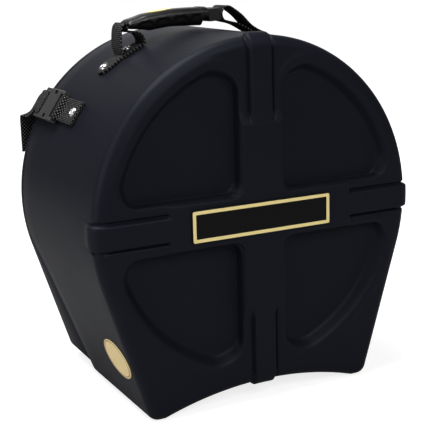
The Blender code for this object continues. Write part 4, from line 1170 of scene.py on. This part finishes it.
class RivetField(PointTree):
    """Domed rivets with washers: one tree sets a turned rivet on every marked point."""

    sharp: float = 40
    dome_squeeze: Triple = (1.0, 1.0, 0.62)
    washer_thick: float = 0.0009
    washer_place: float = -0.0085
    shank_radius: float = 0.0019
    shank_length: float = 0.0090
    shank_place: float = -0.0044

    def __init__(self, look: bpy.types.Material) -> None:
        """Turn a rivet's shape from shares of its head's sizes."""
        super().__init__(
            "rivets_on_points", {"Head Radius": 0.0058, "Head Height": 0.0024, "Washer Radius": 0.0055}
        )
        radius, tall, washer_radius = self.start
        cone = {"Vertices": 32, "Radius Top": radius * 0.90, "Radius Bottom": radius, "Depth": tall * 0.34}
        circle, cylinder = "GeometryNodeCurvePrimitiveCircle", "GeometryNodeMeshCylinder"
        path = self.wire(circle, {"Resolution": 36, "Radius": radius * 0.76})
        cut = self.wire(circle, {"Resolution": 12, "Radius": tall * 0.44})
        dome = self.wire("GeometryNodeMeshUVSphere", {"Segments": 28, "Rings": 16, "Radius": radius * 0.46})
        washer = {"Vertices": 28, "Radius": washer_radius, "Depth": self.washer_thick}
        shank = {"Vertices": 16, "Radius": self.shank_radius, "Depth": self.shank_length}
        whole = self.add("GeometryNodeJoinGeometry")
        for piece, height in (
            (self.wire("GeometryNodeCurveToMesh", {"Curve": path, "Profile Curve": cut}), tall * 0.40),
            (self.wire("GeometryNodeMeshCone", cone), tall * 0.02),
            (self.wire("GeometryNodeTransform", {"Geometry": dome, "Scale": self.dome_squeeze}), tall * 0.28),
            (self.wire(cylinder, washer), self.washer_place),
            (self.wire(cylinder, shank), self.shank_place),
        ):
            up = self.wire("ShaderNodeCombineXYZ", {2: height})
            moved = self.wire("GeometryNodeTransform", {"Geometry": piece, "Translation": up})
            self.tree.links.new(moved.socket, whole.inputs[0])
        self.close(Wire(self, whole.outputs[0]), (("out", "Z"),), look)

    def build(self, name: str, body: str, places: Sequence[Matrix], nodes: Sequence[str]) -> bpy.types.Object:
        """Set rivets at frames under their heads, whose Z points out, in place of the nodes."""
        ways = {"out": [place.to_3x3() @ Z_AXIS for place in places]}
        made = self.on_points(name, [place.translation for place in places], ways)
        made.data.set_sharp_from_angle(angle=math.radians(self.sharp))
        return Part.seat(made, body, "rivet_steel", nodes)


@dataclass(frozen=True)
class Stitch:
    """One stitch: where it lies, the way that it runs and the way out of the cloth."""

    place: Vector
    along: Vector
    out: Vector


class Seams(PointTree):
    """Sewn seams: one tree lays a thread of round section on every marked point."""

    pitch: float = 0.0033

    def __init__(self, look: bpy.types.Material) -> None:
        """Shape a thread from its length and thickness."""
        super().__init__("stitches_on_points", {"Stitch Length": 0.0025, "Thread Thickness": 0.0007})
        length, thick = self.start
        size = self.wire("ShaderNodeCombineXYZ", {0: length, 1: thick, 2: thick})
        bead = self.wire("GeometryNodeMeshUVSphere", {"Segments": 10, "Rings": 8, "Radius": 0.5})
        thread = self.wire("GeometryNodeTransform", {"Geometry": bead, "Scale": size})
        self.close(thread, (("out", "Z"), ("along", "X")), look)

    def along(self, path: Sequence[Pair], lay: Callable[[float, float], Matrix]) -> list[Stitch]:
        """Stitches at an even pitch along a path on flat or curved cloth.

        Args:
            path: Corners of the seam, flat.
            lay: Gives the frame on the cloth at a flat place.

        Returns:
            The stitches.
        """
        made = []
        left = self.pitch / 2
        for (x0, y0), (x1, y1) in zip(path, path[1:]):
            run = math.hypot(x1 - x0, y1 - y0)
            ways = (lay(x0, y0).translation, lay(x1, y1).translation)
            while left < run:
                share = left / run
                here = lay(x0 + (x1 - x0) * share, y0 + (y1 - y0) * share)
                out = here.to_3x3() @ Z_AXIS
                made.append(Stitch(here.translation.copy(), (ways[1] - ways[0]).normalized(), out))
                left += self.pitch
            left -= run
        return made

    def build(self, name: str, body: str, stitches: Sequence[Stitch]) -> bpy.types.Object:
        """Sew the stitches as one piece that rides on a body."""
        ways = {key: [getattr(stitch, key) for stitch in stitches] for key in ("along", "out")}
        made = self.on_points(name, [stitch.place for stitch in stitches], ways)
        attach(made, body)
        LOG.info("%s: %d stitches on %s", name, len(stitches), body)
        return made


# The carrying handle


@dataclass(frozen=True)
class Reach:
    """Heights along one way, at which a loop passes from the case to the straps and on to the grip."""

    seat: Pair
    way: Pair
    foot: float
    cut: float
    grip: float
    below: float = 0.0010
    above: float = 0.0018

    def at(self, height: float) -> Vector:
        """The point at a height."""
        return Vector((self.seat[0] + self.way[0] * height, 0, self.seat[1] + self.way[1] * height))

    def height(self, point: Vector) -> float:
        """Height of a point."""
        return (point.x - self.seat[0]) * self.way[0] + (point.z - self.seat[1]) * self.way[1]


@dataclass
class Handle:
    """Grip, core, webbing loops and anchors of the carrying handle."""

    looks: Looks
    shape: CaseShape = SHAPE
    depth: float = 0.1465
    web: Tape = field(default_factory=lambda: Tape(0.030, 0.0018))
    doubled: float = 0.0034
    anchor_outer: float = 129.8
    anchor_outer_rivet: float = 127.0
    anchor_loop: float = 120.3
    anchor_inner_rivet: float = 117.5
    anchor_inner: float = 113.2
    foot_lift: float = 0.0017
    foot_setback: float = 0.0015
    grip_length: float = 0.102
    grip_width: float = 0.030
    grip_height: float = 0.0206
    grip_centre: Pair = (-0.0450, 0.4342)
    grip_tilt: float = 5.1
    grip_arch: float = 0.0018
    stub: float = 0.0010
    grip_sharp: float = 50
    grip_stations: int = 121
    grip_sides: int = 56
    grip_square: float = 0.72
    hollows: float = 4.6
    hollow_span: Pair = (0.10, 0.90)
    hollow_edge: Pair = (-0.42, 0.62)
    hollow_power: float = 0.6
    hollow_slope: float = 0.22
    hollow_share: float = 0.17
    hollow_least: float = 0.05
    hollow_width: float = 1.4
    anchor_steps: int = 48
    anchor_least: float = 0.12
    seam_inset: float = 0.0026
    seam_steps: int = 14
    loop_steps: int = 10
    tongue: float = 0.0165
    tongue_drop: float = 0.0015
    left_reach: Reach = Reach((-0.1054, 0.3900), (-0.522, 0.853), 0.0040, 0.0100, 0.0255)
    right_reach: Reach = Reach((0.0, 0.0), (0.0, 1.0), 0.3950, 0.4175, 0.4360)
    top_shares: tuple[Pair, ...] = (
        (0.0, 0.41), (0.03, 0.60), (0.13, 0.71), (0.22, 0.88), (0.53, 0.98), (0.80, 0.88), (0.91, 0.84),
        (0.92, 0.90), (1.0, 0.84),
    )
    under_shares: tuple[Pair, ...] = (
        (0.0, 0.41), (0.13, 0.70), (0.22, 0.89), (0.28, 1.09), (0.53, 1.02), (0.80, 1.22), (0.92, 1.29),
        (0.93, 0.80), (1.0, 0.76),
    )
    left_shares: tuple[Pair, ...] = (
        (0.004, -0.003), (0.217, -0.125), (0.507, -0.183), (0.772, -0.208), (0.954, -0.190), (1.066, -0.102),
        (1.026, -0.010), (0.865, 0.011), (0.813, 0.145), (0.849, 0.348), (0.808, 0.533), (0.680, 0.680),
        (0.519, 0.740),
    )
    right_shares: tuple[Pair, ...] = (
        (0.001, 0.013), (0.131, 0.050), (0.284, 0.050), (0.416, 0.044), (0.543, 0.058), (0.707, 0.110),
        (0.844, 0.132), (0.946, 0.135), (1.004, 0.092), (1.0, 0.0), (0.939, -0.056), (0.852, -0.044),
        (0.730, -0.015), (0.621, -0.008), (0.479, -0.015),
    )

    def rim_point(self, angle: float, lift: float) -> Vector:
        """A point in the handle's plane, a height above the wall."""
        turn = math.radians(angle)
        radius = self.shape.wall_radius(self.depth) + lift
        return self.shape.point(radius * math.cos(turn), self.depth, self.shape.rim_height + radius * math.sin(turn))

    def grip_place(self) -> Matrix:
        """Frame of the grip: X along it, Z up from its middle."""
        turn = Matrix.Rotation(math.radians(-self.grip_tilt), 4, "Y")
        return Matrix.Translation(self.shape.point(self.grip_centre[0], self.depth, self.grip_centre[1])) @ turn

    def arch(self, along: float) -> float:
        """Height of the grip's middle line."""
        half = self.grip_length / 2
        inside = max(-half, min(half, along))
        beyond = abs(along - inside)
        return -self.grip_arch * (inside / half) ** 2 - beyond * self.grip_arch / half

    def build_anchors(self) -> None:
        """Doubled webbing flat on the wall, in two layers, with a round outer end."""
        radius = self.shape.wall_radius(self.depth)
        layer = Tape(self.web.width, self.doubled / 2)
        sweep = math.radians(self.anchor_outer - self.anchor_inner) * radius
        stations = [sweep * index / self.anchor_steps for index in range(self.anchor_steps + 1)]
        tips = [max(0.0, 1 - away / (self.web.width / 2)) for away in stations]
        shares = [max(self.anchor_least, math.sqrt(max(0.0, 1 - tip**2))) for tip in tips]
        for side in Side:
            mesh = bmesh.new()
            angles = [side.angle(self.anchor_outer - math.degrees(away / radius)) for away in stations]
            for level in (0.25, 0.75):
                route = [self.rim_point(angle, self.shape.gap + self.doubled * level) for angle in angles]
                layer.mesh(route, [Y_AXIS] * len(route), shares, mesh)
            made = Part.from_mesh(f"{side.word}_anchor_webbing", mesh, self.looks.webbing)
            Part.seat(made, "front_case", "webbing", [f"{side.word}_handle_anchor"])

    def loop_route(self, side: Side) -> list[Vector]:
        """Middle line of one loop, from the anchor's outer side round the grip's end and home."""
        above = self.shape.gap * 2 + self.doubled
        outer = self.rim_point(side.angle(self.anchor_loop), above)
        inner = self.rim_point(side.angle(self.anchor_inner), self.foot_lift)
        inner.x -= side.value * self.foot_setback
        if side is Side.LEFT:
            along = -self.grip_length / 2 - self.stub
            height = self.arch(along)
        else:
            along = self.grip_length / 2 + self.shape.gap + self.tongue
            height = self.arch(along) - self.tongue_drop
        tip = self.grip_place() @ Vector((along, 0, height))
        slant = math.radians(self.grip_tilt)
        tip += Vector((math.cos(slant), 0, math.sin(slant))) * side.value * (self.shape.gap + self.web.thickness / 2)
        line = tip - outer
        square = Vector((line.z, 0, -line.x))
        shares = self.left_shares if side is Side.LEFT else self.right_shares
        points = [outer + line * along + square * aside for along, aside in shares]
        return curve_through([*points, inner], self.loop_steps)

    def build_loops(self) -> None:
        """The two loops, each cut at one height into a lower and an upper half."""
        for side in Side:
            route = self.loop_route(side)
            reach = self.left_reach if side is Side.LEFT else self.right_reach
            high = [index for index, point in enumerate(route) if reach.height(point) > reach.cut]
            first, last = min(high), max(high)
            lower, upper = bmesh.new(), bmesh.new()
            lengths = [0.0]
            for here, after in zip(route, route[1:]):
                lengths.append(lengths[-1] + (after - here).length)
            for mesh, low, top in ((lower, 0, first), (upper, first, last), (lower, last, len(route) - 1)):
                if top > low:
                    stretch = route[low : top + 1]
                    self.web.mesh(stretch, [Y_AXIS] * len(stretch), None, mesh, lengths[low])
            node = f"{side.word}_handle_loop"
            made = Part.from_mesh(f"{node}_lower", lower, self.looks.webbing)
            reach.at(reach.foot)
            reach.at(reach.cut - reach.below)
            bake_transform(made)
            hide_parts(node)
            made = Part.from_mesh(f"{node}_upper", upper, self.looks.webbing)
            reach.at(reach.cut + reach.above)
            reach.at(reach.grip)
            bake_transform(made)
            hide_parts(node)
            LOG.info("%s: two halves, %.0f mm long", node, lengths[-1] * 1000)

    def grip_ring(self, share: float) -> list[Vector]:
        """The grip's cut at a share of its length from the left: squarish, with hollows for the fingers."""
        place, along = self.grip_place(), (share - 0.5) * self.grip_length
        top, under = (
            np.interp(share, *zip(*shares)) * self.grip_height / 2 for shares in (self.top_shares, self.under_shares)
        )
        first, last = self.hollow_span
        lobe = abs(math.sin(math.pi * self.hollows * (share - first))) if first < share < last else 0.0
        edge = self.hollow_edge[0] + self.hollow_edge[1] * lobe**self.hollow_power
        points = []
        for index in range(self.grip_sides):
            angle = math.tau * index / self.grip_sides
            y, z = (
                math.copysign(abs(part) ** self.grip_square, part) for part in (math.cos(angle), math.sin(angle))
            )
            sunk = float(smooth(np.array((edge - z) / self.hollow_slope))) * self.hollow_share
            sunk *= lobe > self.hollow_least
            shift = y * (1 - sunk * min(1.0, abs(y) * self.hollow_width))
            height = z * (top if z > 0 else under)
            points.append(place @ Vector((along, shift * self.grip_width / 2, self.arch(along) + height)))
        return points

    def build_grip(self) -> None:
        """The rubber grip with its collar and the four finger hollows under its front and rear edges."""
        rings = [self.grip_ring(station / (self.grip_stations - 1)) for station in range(self.grip_stations)]
        made = Part.from_mesh("grip_body", Part.loft(rings), self.looks.grip)
        made.data.set_sharp_from_angle(angle=math.radians(self.grip_sharp))
        Part.seat(made, "handle_grip_body", "grip_rubber", ["handle_grip"])
        for node, name, look, slot, width, steps in (
            ("handle_core", "grip_core_tongue", self.looks.core, "core_rubber", 0.0016, 4),
            ("grip_badge", "grip_badge_oval", self.looks.border, "badge_yellow", 0.0003, 2),
        ):
            Part.seat(Part.refined(node, name, look, width, steps), "handle_grip_body", slot, [node])

    def stitches(self, seams: Seams) -> list[Stitch]:
        """Seams round both anchors, a little inside their edges."""
        radius, inset, half = self.shape.wall_radius(self.depth), self.seam_inset, self.web.width / 2
        run = math.radians(self.anchor_outer - self.anchor_loop) * radius
        curl = arc_points((half, 0), half - inset, math.pi / 2, math.pi * 1.5, self.seam_steps)
        path = [(run, half - inset), *curl, (run, inset - half)]
        made = []
        for side in Side:
            def lay(away: float, across: float, side: Side = side) -> Matrix:
                """Frame on the anchor's top."""
                turn = side.angle(self.anchor_outer - math.degrees(away / radius))
                return self.shape.wall_frame(turn, self.depth + across, radius + self.doubled + self.shape.gap)
            made += seams.along(path, lay)
        return made

    def rivet_places(self) -> list[Matrix]:
        """Frames at the undersides of the four rivet heads."""
        seat = self.shape.wall_radius(self.depth) + self.doubled + 2 * self.shape.gap
        angles = (self.anchor_outer_rivet, self.anchor_inner_rivet)
        return [self.shape.wall_frame(side.angle(angle), self.depth, seat) for side in Side for angle in angles]

    def build(self) -> None:
        """Make every piece of the handle."""
        self.build_anchors()
        self.build_loops()
        self.build_grip()


# Buckles


@dataclass
class Buckle:
    """One side-release buckle with its tab and strap, in the straight frame of the wall."""

    side: Side
    looks: Looks
    shape: CaseShape = SHAPE
    angle: float = 145.3
    seam: float = 0.2098
    height: float = 0.0095
    lift: float = 0.0012
    housing: float = 0.0413
    bar_thick: float = 0.0040
    bar_deep: float = 0.0035
    flange: float = 0.0030
    ladder: float = 0.0267
    ladder_thick: float = 0.0050
    slot: float = 0.0050
    rear_bar: float = 0.0035
    tab_front: float = 0.122
    tab_rivet: float = 0.1328
    rivet_radius: float = 0.0058
    recess_edge: float = 0.1795
    recess_depth: float = 0.0120
    recess_slope: float = 0.0120
    strap_rivet: float = 0.052
    strap_end: float = 0.064
    ridge: Pair = (0.2613, 0.0042)
    drift: float = 0.0102
    standoff: float = 0.0098
    tail: float = 0.055
    drape: tuple[Triple, ...] = ((0.27, 0.27, 0.22), (0.64, 0.68, 0.61), (1.0, 1.0, 1.0))
    hang: tuple[Pair, ...] = ((0.09, 0.66), (0.22, 0.97), (0.48, 1.0), (0.74, 1.0), (1.0, 1.0))
    route_steps: int = 6
    seam_inset: float = 0.0028
    tab_seam: Pair = (0.0095, 0.0135)
    strap_seam: Pair = (0.0025, 0.0105)
    web: Tape = field(default_factory=lambda: Tape(0.0295, 0.0018))

    @property
    def place(self) -> Matrix:
        """Frame that the buckle lies in."""
        return self.shape.wall_frame(self.side.angle(self.angle), 0, self.shape.wall_radius(self.shape.mouth))

    @property
    def clear(self) -> float:
        """Distance from a surface to the middle of webbing that lies on it."""
        return self.shape.gap + self.web.thickness / 2

    def settle(self, depth: float) -> float:
        """Height of the flared wall in the buckle's frame."""
        return self.shape.wall_radius(depth) - self.shape.wall_radius(self.shape.mouth)

    def tab_route(self) -> list[Vector]:
        """Middle line of the doubled tab, round the housing's bar and back."""
        front = self.seam - self.housing
        middle = self.lift + self.height / 2
        half, clear = self.web.thickness / 2, self.clear
        bar = front + self.bar_deep / 2
        over, behind = self.bar_thick / 2 + clear, self.bar_deep / 2 + clear
        first = clear
        second = first + self.web.thickness + self.shape.gap
        run = self.tab_rivet + self.rivet_radius
        low = [(y, first + self.settle(y)) for y in (self.tab_front, self.tab_rivet, run, front - over * 2)]
        low += [(front - behind, first + self.shape.gap + self.settle(front)), (bar, middle - over)]
        side_z = self.bar_thick / 2
        turn = [(bar + self.bar_deep / 2, middle - over), (bar + behind, middle - side_z)]
        turn += [(bar + behind, middle + side_z), (bar + self.bar_deep / 2, middle + over), (bar, middle + over)]
        back = [(front, middle + over), (front - behind, middle + side_z)]
        back.append((front - over * 2, second + half + self.settle(front)))
        back += [(y, second + self.settle(y)) for y in (front - over * 4, run, self.tab_rivet, self.tab_front)]
        return [Vector((0, y, z)) for y, z in low + turn + back]

    def strap_route(self) -> list[Vector]:
        """Middle line of the strap: rear recess, rim, under the ladder, round its bar and the tail."""
        s, clear = self.shape, self.clear
        floor, face = s.rear - self.recess_depth + clear, s.rear + clear
        slope_top = s.rim_radius + s.flare - self.recess_edge
        slope_end = slope_top + self.recess_slope
        centre = (s.rear - s.fillet, -s.rear_step - s.fillet)
        rim = arc_points(centre, s.fillet + clear, 0, math.pi / 2, 4)
        under = [
            (floor, -self.strap_end), (floor, -self.strap_rivet), (floor, -slope_end - clear * 3),
            (floor + clear, -slope_end), (face + s.gap, -slope_top - clear), *rim,
            (s.mouth + clear, clear + s.gap), (self.seam + self.ladder, clear),
            (self.seam + self.ladder - self.rear_bar, clear),
        ]
        middle = self.lift + self.height / 2
        over = middle + self.ladder_thick / 2 + clear
        end = self.seam + s.gap + self.ladder
        slot_rear = self.seam + s.gap + self.flange + self.rear_bar / 2 + self.slot
        turn, ease = slot_rear - clear, self.ladder_thick / 4
        through = [
            (slot_rear + clear, clear), (turn, clear + ease), (turn, middle), (turn, over - ease),
            (slot_rear + clear, over), (end, over),
        ]
        points = [Vector((0, y, z)) for y, z in under + through]
        ridge = Vector((self.side.value * self.drift, *self.ridge))
        for drift, depth, height in self.drape:
            points.append(Vector((ridge.x * drift, end + (ridge.y - end) * depth, over + (ridge.z - over) * height)))
        for drop, away in self.hang:
            points.append(ridge + self.down * self.tail * drop + Vector((0, self.standoff * away, 0)))
        return points

    @property
    def down(self) -> Vector:
        """The way down in the buckle's frame."""
        turn = math.radians(self.angle)
        return Vector((-self.side.value * math.cos(turn), 0, -math.sin(turn)))

    def webbing(self, name: str, points: list[Vector], turned: int, body: str, nodes: list[str]) -> None:
        """One length of webbing that may turn to hang at its end.

        Args:
            name: The piece's name.
            points: Its route in the buckle's frame.
            turned: How many points at the end hang down.
            body: The body that it rides on.
            nodes: The nodes that it stands for.
        """
        steps = self.route_steps
        route = curve_through(points, steps)
        hung = Y_AXIS.cross(self.down)
        hung = -hung if hung.dot(X_AXIS) < 0 else hung
        across = []
        for index in range(len(route)):
            share = max(0, index - (len(route) - 1 - turned * steps)) / max(1, turned * steps / 2)
            across.append(X_AXIS.lerp(hung, min(share, 1)))
        mesh = self.web.mesh(route, across)
        bmesh.ops.transform(mesh, matrix=self.place, verts=mesh.verts)
        Part.seat(Part.from_mesh(name, mesh, self.looks.webbing), body, "webbing", nodes)

    def stitches(self, seams: Seams) -> tuple[list[Stitch], list[Stitch]]:
        """Box seams on the tab and on the strap's end behind the case."""
        half = self.web.width / 2 - self.seam_inset
        top = 2 * self.web.thickness + 2.2 * self.shape.gap
        front, rear = self.tab_rivet + self.tab_seam[0], self.seam - self.housing - self.tab_seam[1]
        box = [(-half, front), (half, front), (half, rear), (-half, rear), (-half, front)]

        def on_tab(x: float, y: float) -> Matrix:
            """Frame on the tab's top."""
            return self.place @ Matrix.Translation((x, y, top + self.settle(y)))

        def on_strap(x: float, z: float) -> Matrix:
            """Frame on the strap's face behind the case."""
            return self.behind(x, z, self.web.thickness + self.shape.gap)

        low, high = self.strap_seam[0] - self.strap_end, self.strap_seam[1] - self.strap_rivet
        end = [(-half, high), (-half, low), (half, low), (half, high), (-half, high)]
        return seams.along(box, on_tab), seams.along(end, on_strap)

    def rivet_place(self) -> Matrix:
        """Frame under the head of the tab's rivet."""
        stack = 2 * self.web.thickness + 3 * self.shape.gap
        return self.shape.wall_frame(
            self.side.angle(self.angle), self.tab_rivet, self.shape.wall_radius(self.tab_rivet) + stack
        )

    def strap_rivet_place(self) -> Matrix:
        """Frame under the head of the strap's rivet, in the rear recess."""
        return self.behind(0, -self.strap_rivet, self.web.thickness + 2 * self.shape.gap)

    def behind(self, x: float, z: float, out: float) -> Matrix:
        """Frame that looks backwards, out of the rear recess."""
        seat = Matrix.Translation((x, self.shape.rear - self.recess_depth + out, z))
        return self.place @ seat @ Matrix.Rotation(math.radians(-90), 4, "X")

    def build(self) -> None:
        """Make the buckle's plastic and webbing."""
        word = self.side.word
        self.webbing(f"{word}_tab_webbing", self.tab_route(), 0, "front_case", [f"{word}_buckle_tab"])
        self.webbing(f"{word}_strap_webbing", self.strap_route(), 5, "rear_case", [f"{word}_buckle_strap"])
        for node, body, width in (
            ("buckle_housing", "front_case", 0.0005), ("buckle_plug", "rear_case", 0.0004),
            ("prong_lower", f"{word}_lower_prong", 0.0003), ("prong_upper", f"{word}_upper_prong", 0.0003),
        ):
            made = Part.refined(f"{word}_{node}", f"{word}_{node}_moulding", self.looks.buckle, width)
            Part.seat(made, body, "buckle_plastic", [f"{word}_{node}"])


@dataclass
class Plates:
    """The bare badge on the cross pads and the bare oval on the left wall."""

    looks: Looks
    line: float = 0.0026
    line_more: float = 0.0012

    def build(self) -> None:
        """Round the plates' edges and dress them."""
        for node, name, look, slot, width in (
            ("badge_plate", "badge_panel", self.looks.plate, "badge_black", 0.0004),
            ("badge_border", "badge_frame_line", self.looks.border, "badge_yellow", 0.0002),
            ("oval_label", "oval_plate", self.looks.oval, "badge_yellow", 0.0003),
        ):
            made = Part.refined(node, name, look, width)
            if node == "badge_border":
                self.thicken(made, node)
            Part.seat(made, "front_case", slot, [node])

    def thicken(self, made: bpy.types.Object, node: str) -> None:
        """Move the inner edge of the badge's line towards the middle; its outer edge stays."""
        low, high = (Vector(corner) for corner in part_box(node))
        middle, half = (low + high) / 2, (high - low) / 2
        for vertex in made.data.vertices:
            away = vertex.co - middle
            if abs(away.x) < half.x - self.line / 2 and abs(away.z) < half.z - self.line / 2:
                vertex.co.x -= math.copysign(self.line_more, away.x)
                vertex.co.z -= math.copysign(self.line_more, away.z)


# The studio


@dataclass(frozen=True)
class Lamp:
    """A square soft lamp that points at the case."""

    name: str
    place: Triple
    power: float
    aim: Triple = (0.0, 0.0, 0.2)
    size: float = 1.5

    def build(self) -> None:
        """Hang the lamp."""
        data = bpy.data.lights.new(self.name, "AREA")
        data.size = self.size
        data.energy = self.power
        made = bpy.data.objects.new(self.name, data)
        made.location = self.place
        made.rotation_euler = (Vector(self.aim) - made.location).to_track_quat("-Z", "Y").to_euler()
        bpy.context.scene.collection.objects.link(made)


@dataclass(frozen=True)
class Studio:
    """Pale floor and background, soft lamps, and the camera at the photograph's place."""

    shape: CaseShape = SHAPE
    yaw: float = 26.76529
    pitch: float = 13.16626
    roll: float = -1.62563
    distance: float = 5.71093
    across: float = 0.28989
    above: float = -0.11377
    focal: float = 1018.794
    pixels: int = 423
    sensor: float = 36.0
    far_end: float = 30
    room: float = 0.085
    backdrop_edge: Pair = (0.74, 0.97)
    floor_tone: float = 0.42
    floor_glow: Pair = (0.80, 0.99)
    floor_gloss: float = 0.04
    floor_fade: Pair = (0.30, 1.10)
    floor_half: float = 9
    floor_drop: float = 0.0002
    lamps: tuple[Lamp, ...] = (
        Lamp("top_softbox", (-0.6, 0.25, 2.4), 68),
        Lamp("left_softbox", (-2.3, -0.3, 0.9), 20),
        Lamp("front_softbox", (0.2, -2.5, 2.1), 47),
    )

    def camera(self) -> None:
        """Set the camera from the fitted view."""
        yaw, pitch, roll = (math.radians(angle) for angle in (self.yaw, self.pitch, self.roll))
        ahead = Vector((math.sin(yaw) * math.cos(pitch), math.cos(yaw) * math.cos(pitch), -math.sin(pitch)))
        level = Vector((math.cos(yaw), -math.sin(yaw), 0))
        upright = level.cross(ahead)
        right = level * math.cos(roll) + upright * math.sin(roll)
        up = upright * math.cos(roll) - level * math.sin(roll)
        unit = self.shape.rim_radius
        place = (-ahead * self.distance - right * self.across - up * self.above + Z_AXIS) * unit
        place.y -= self.shape.centre_depth
        data = bpy.data.cameras.new("camera")
        data.sensor_width = self.sensor
        data.lens = self.sensor * self.focal / self.pixels
        data.clip_end = self.far_end
        made = bpy.data.objects.new("camera", data)
        made.matrix_world = Matrix((right, up, -ahead)).transposed().to_4x4()
        made.location = place
        bpy.context.scene.collection.objects.link(made)
        bpy.context.scene.camera = made

    def floor(self) -> None:
        """A wide pale floor that reads white to the camera and keeps the shadow."""
        graph = Graph("pale_floor")
        camera, shiny = graph.rays()
        x, y, _ = graph.split(graph.place)
        far = graph.band((x * x + y * y) ** 0.5, *self.floor_fade)
        near_glow, far_glow = self.floor_glow
        seen = camera * (near_glow + far * (far_glow - near_glow)) + shiny * self.floor_gloss
        diffuse = graph.wire("ShaderNodeBsdfDiffuse", {"Color": grey(self.floor_tone)})
        glow = graph.wire("ShaderNodeEmission", {"Color": WHITE, "Strength": seen})
        both = graph.wire("ShaderNodeAddShader", {0: diffuse, 1: glow})
        mesh = bmesh.new()
        bmesh.ops.create_grid(mesh, x_segments=1, y_segments=1, size=self.floor_half)
        bmesh.ops.translate(mesh, verts=mesh.verts, vec=(0, 0, -self.floor_drop))
        made = Part.from_mesh("studio_floor", mesh, graph.close(both), False)

    def world(self) -> None:
        """A white backdrop behind the case, which polished pieces mirror too, in a dim room."""
        graph = Graph("studio_world", True)
        camera, shiny = graph.rays()
        x, y, _ = graph.split(graph.way)
        yaw = math.radians(self.yaw)
        backdrop = graph.band(x * math.sin(yaw) + y * math.cos(yaw), *self.backdrop_edge)
        room = self.room + shiny * backdrop * (1 - self.room)
        seen = {"Color": WHITE, "Strength": camera + (1 - camera) * room}
        bpy.context.scene.world = graph.close(graph.wire("ShaderNodeBackground", seen))

    def build(self) -> None:
        """Set the whole studio."""
        self.camera()
        self.floor()
        self.world()
        for lamp in self.lamps:
            lamp.build()
        bpy.context.scene.view_settings.view_transform = "Standard"


def main() -> None:
    """Build the studio and every sub-assembly in order."""
    logging.basicConfig(level=logging.INFO, format="%(name)s %(message)s")
    Studio().build()
    looks = Looks()
    outline = Outline()
    FrontShell(FaceForm(), outline).build(looks.shell)
    RearShell(FaceForm(turned_over=False), outline).build(looks.shell)
    Plates(looks).build()
    handle = Handle(looks)
    handle.build()
    buckles = [Buckle(side, looks) for side in Side]
    for buckle in buckles:
        buckle.build()
    seams = Seams(looks.thread)
    sewn = [buckle.stitches(seams) for buckle in buckles]
    seams.build("case_seams", "front_case", handle.stitches(seams) + [one for tab, _ in sewn for one in tab])
    seams.build("strap_seams", "rear_case", [one for _, strap in sewn for one in strap])
    rivets = RivetField(looks.steel)
    names = [f"{side.word}_handle_rivet_{order}" for side in Side for order in ("outer", "inner")]
    names += [f"{side.word}_tab_rivet" for side in Side]
    places = handle.rivet_places() + [buckle.rivet_place() for buckle in buckles]
    rivets.build("case_rivets", "front_case", places, names + [f"{name}_washer" for name in names])
    names = [f"{side.word}_strap_rivet" for side in Side]
    places = [buckle.strap_rivet_place() for buckle in buckles]
    rivets.build("strap_rivets", "rear_case", places, names + [f"{name}_washer" for name in names])


if __name__ == "__main__":
    main()
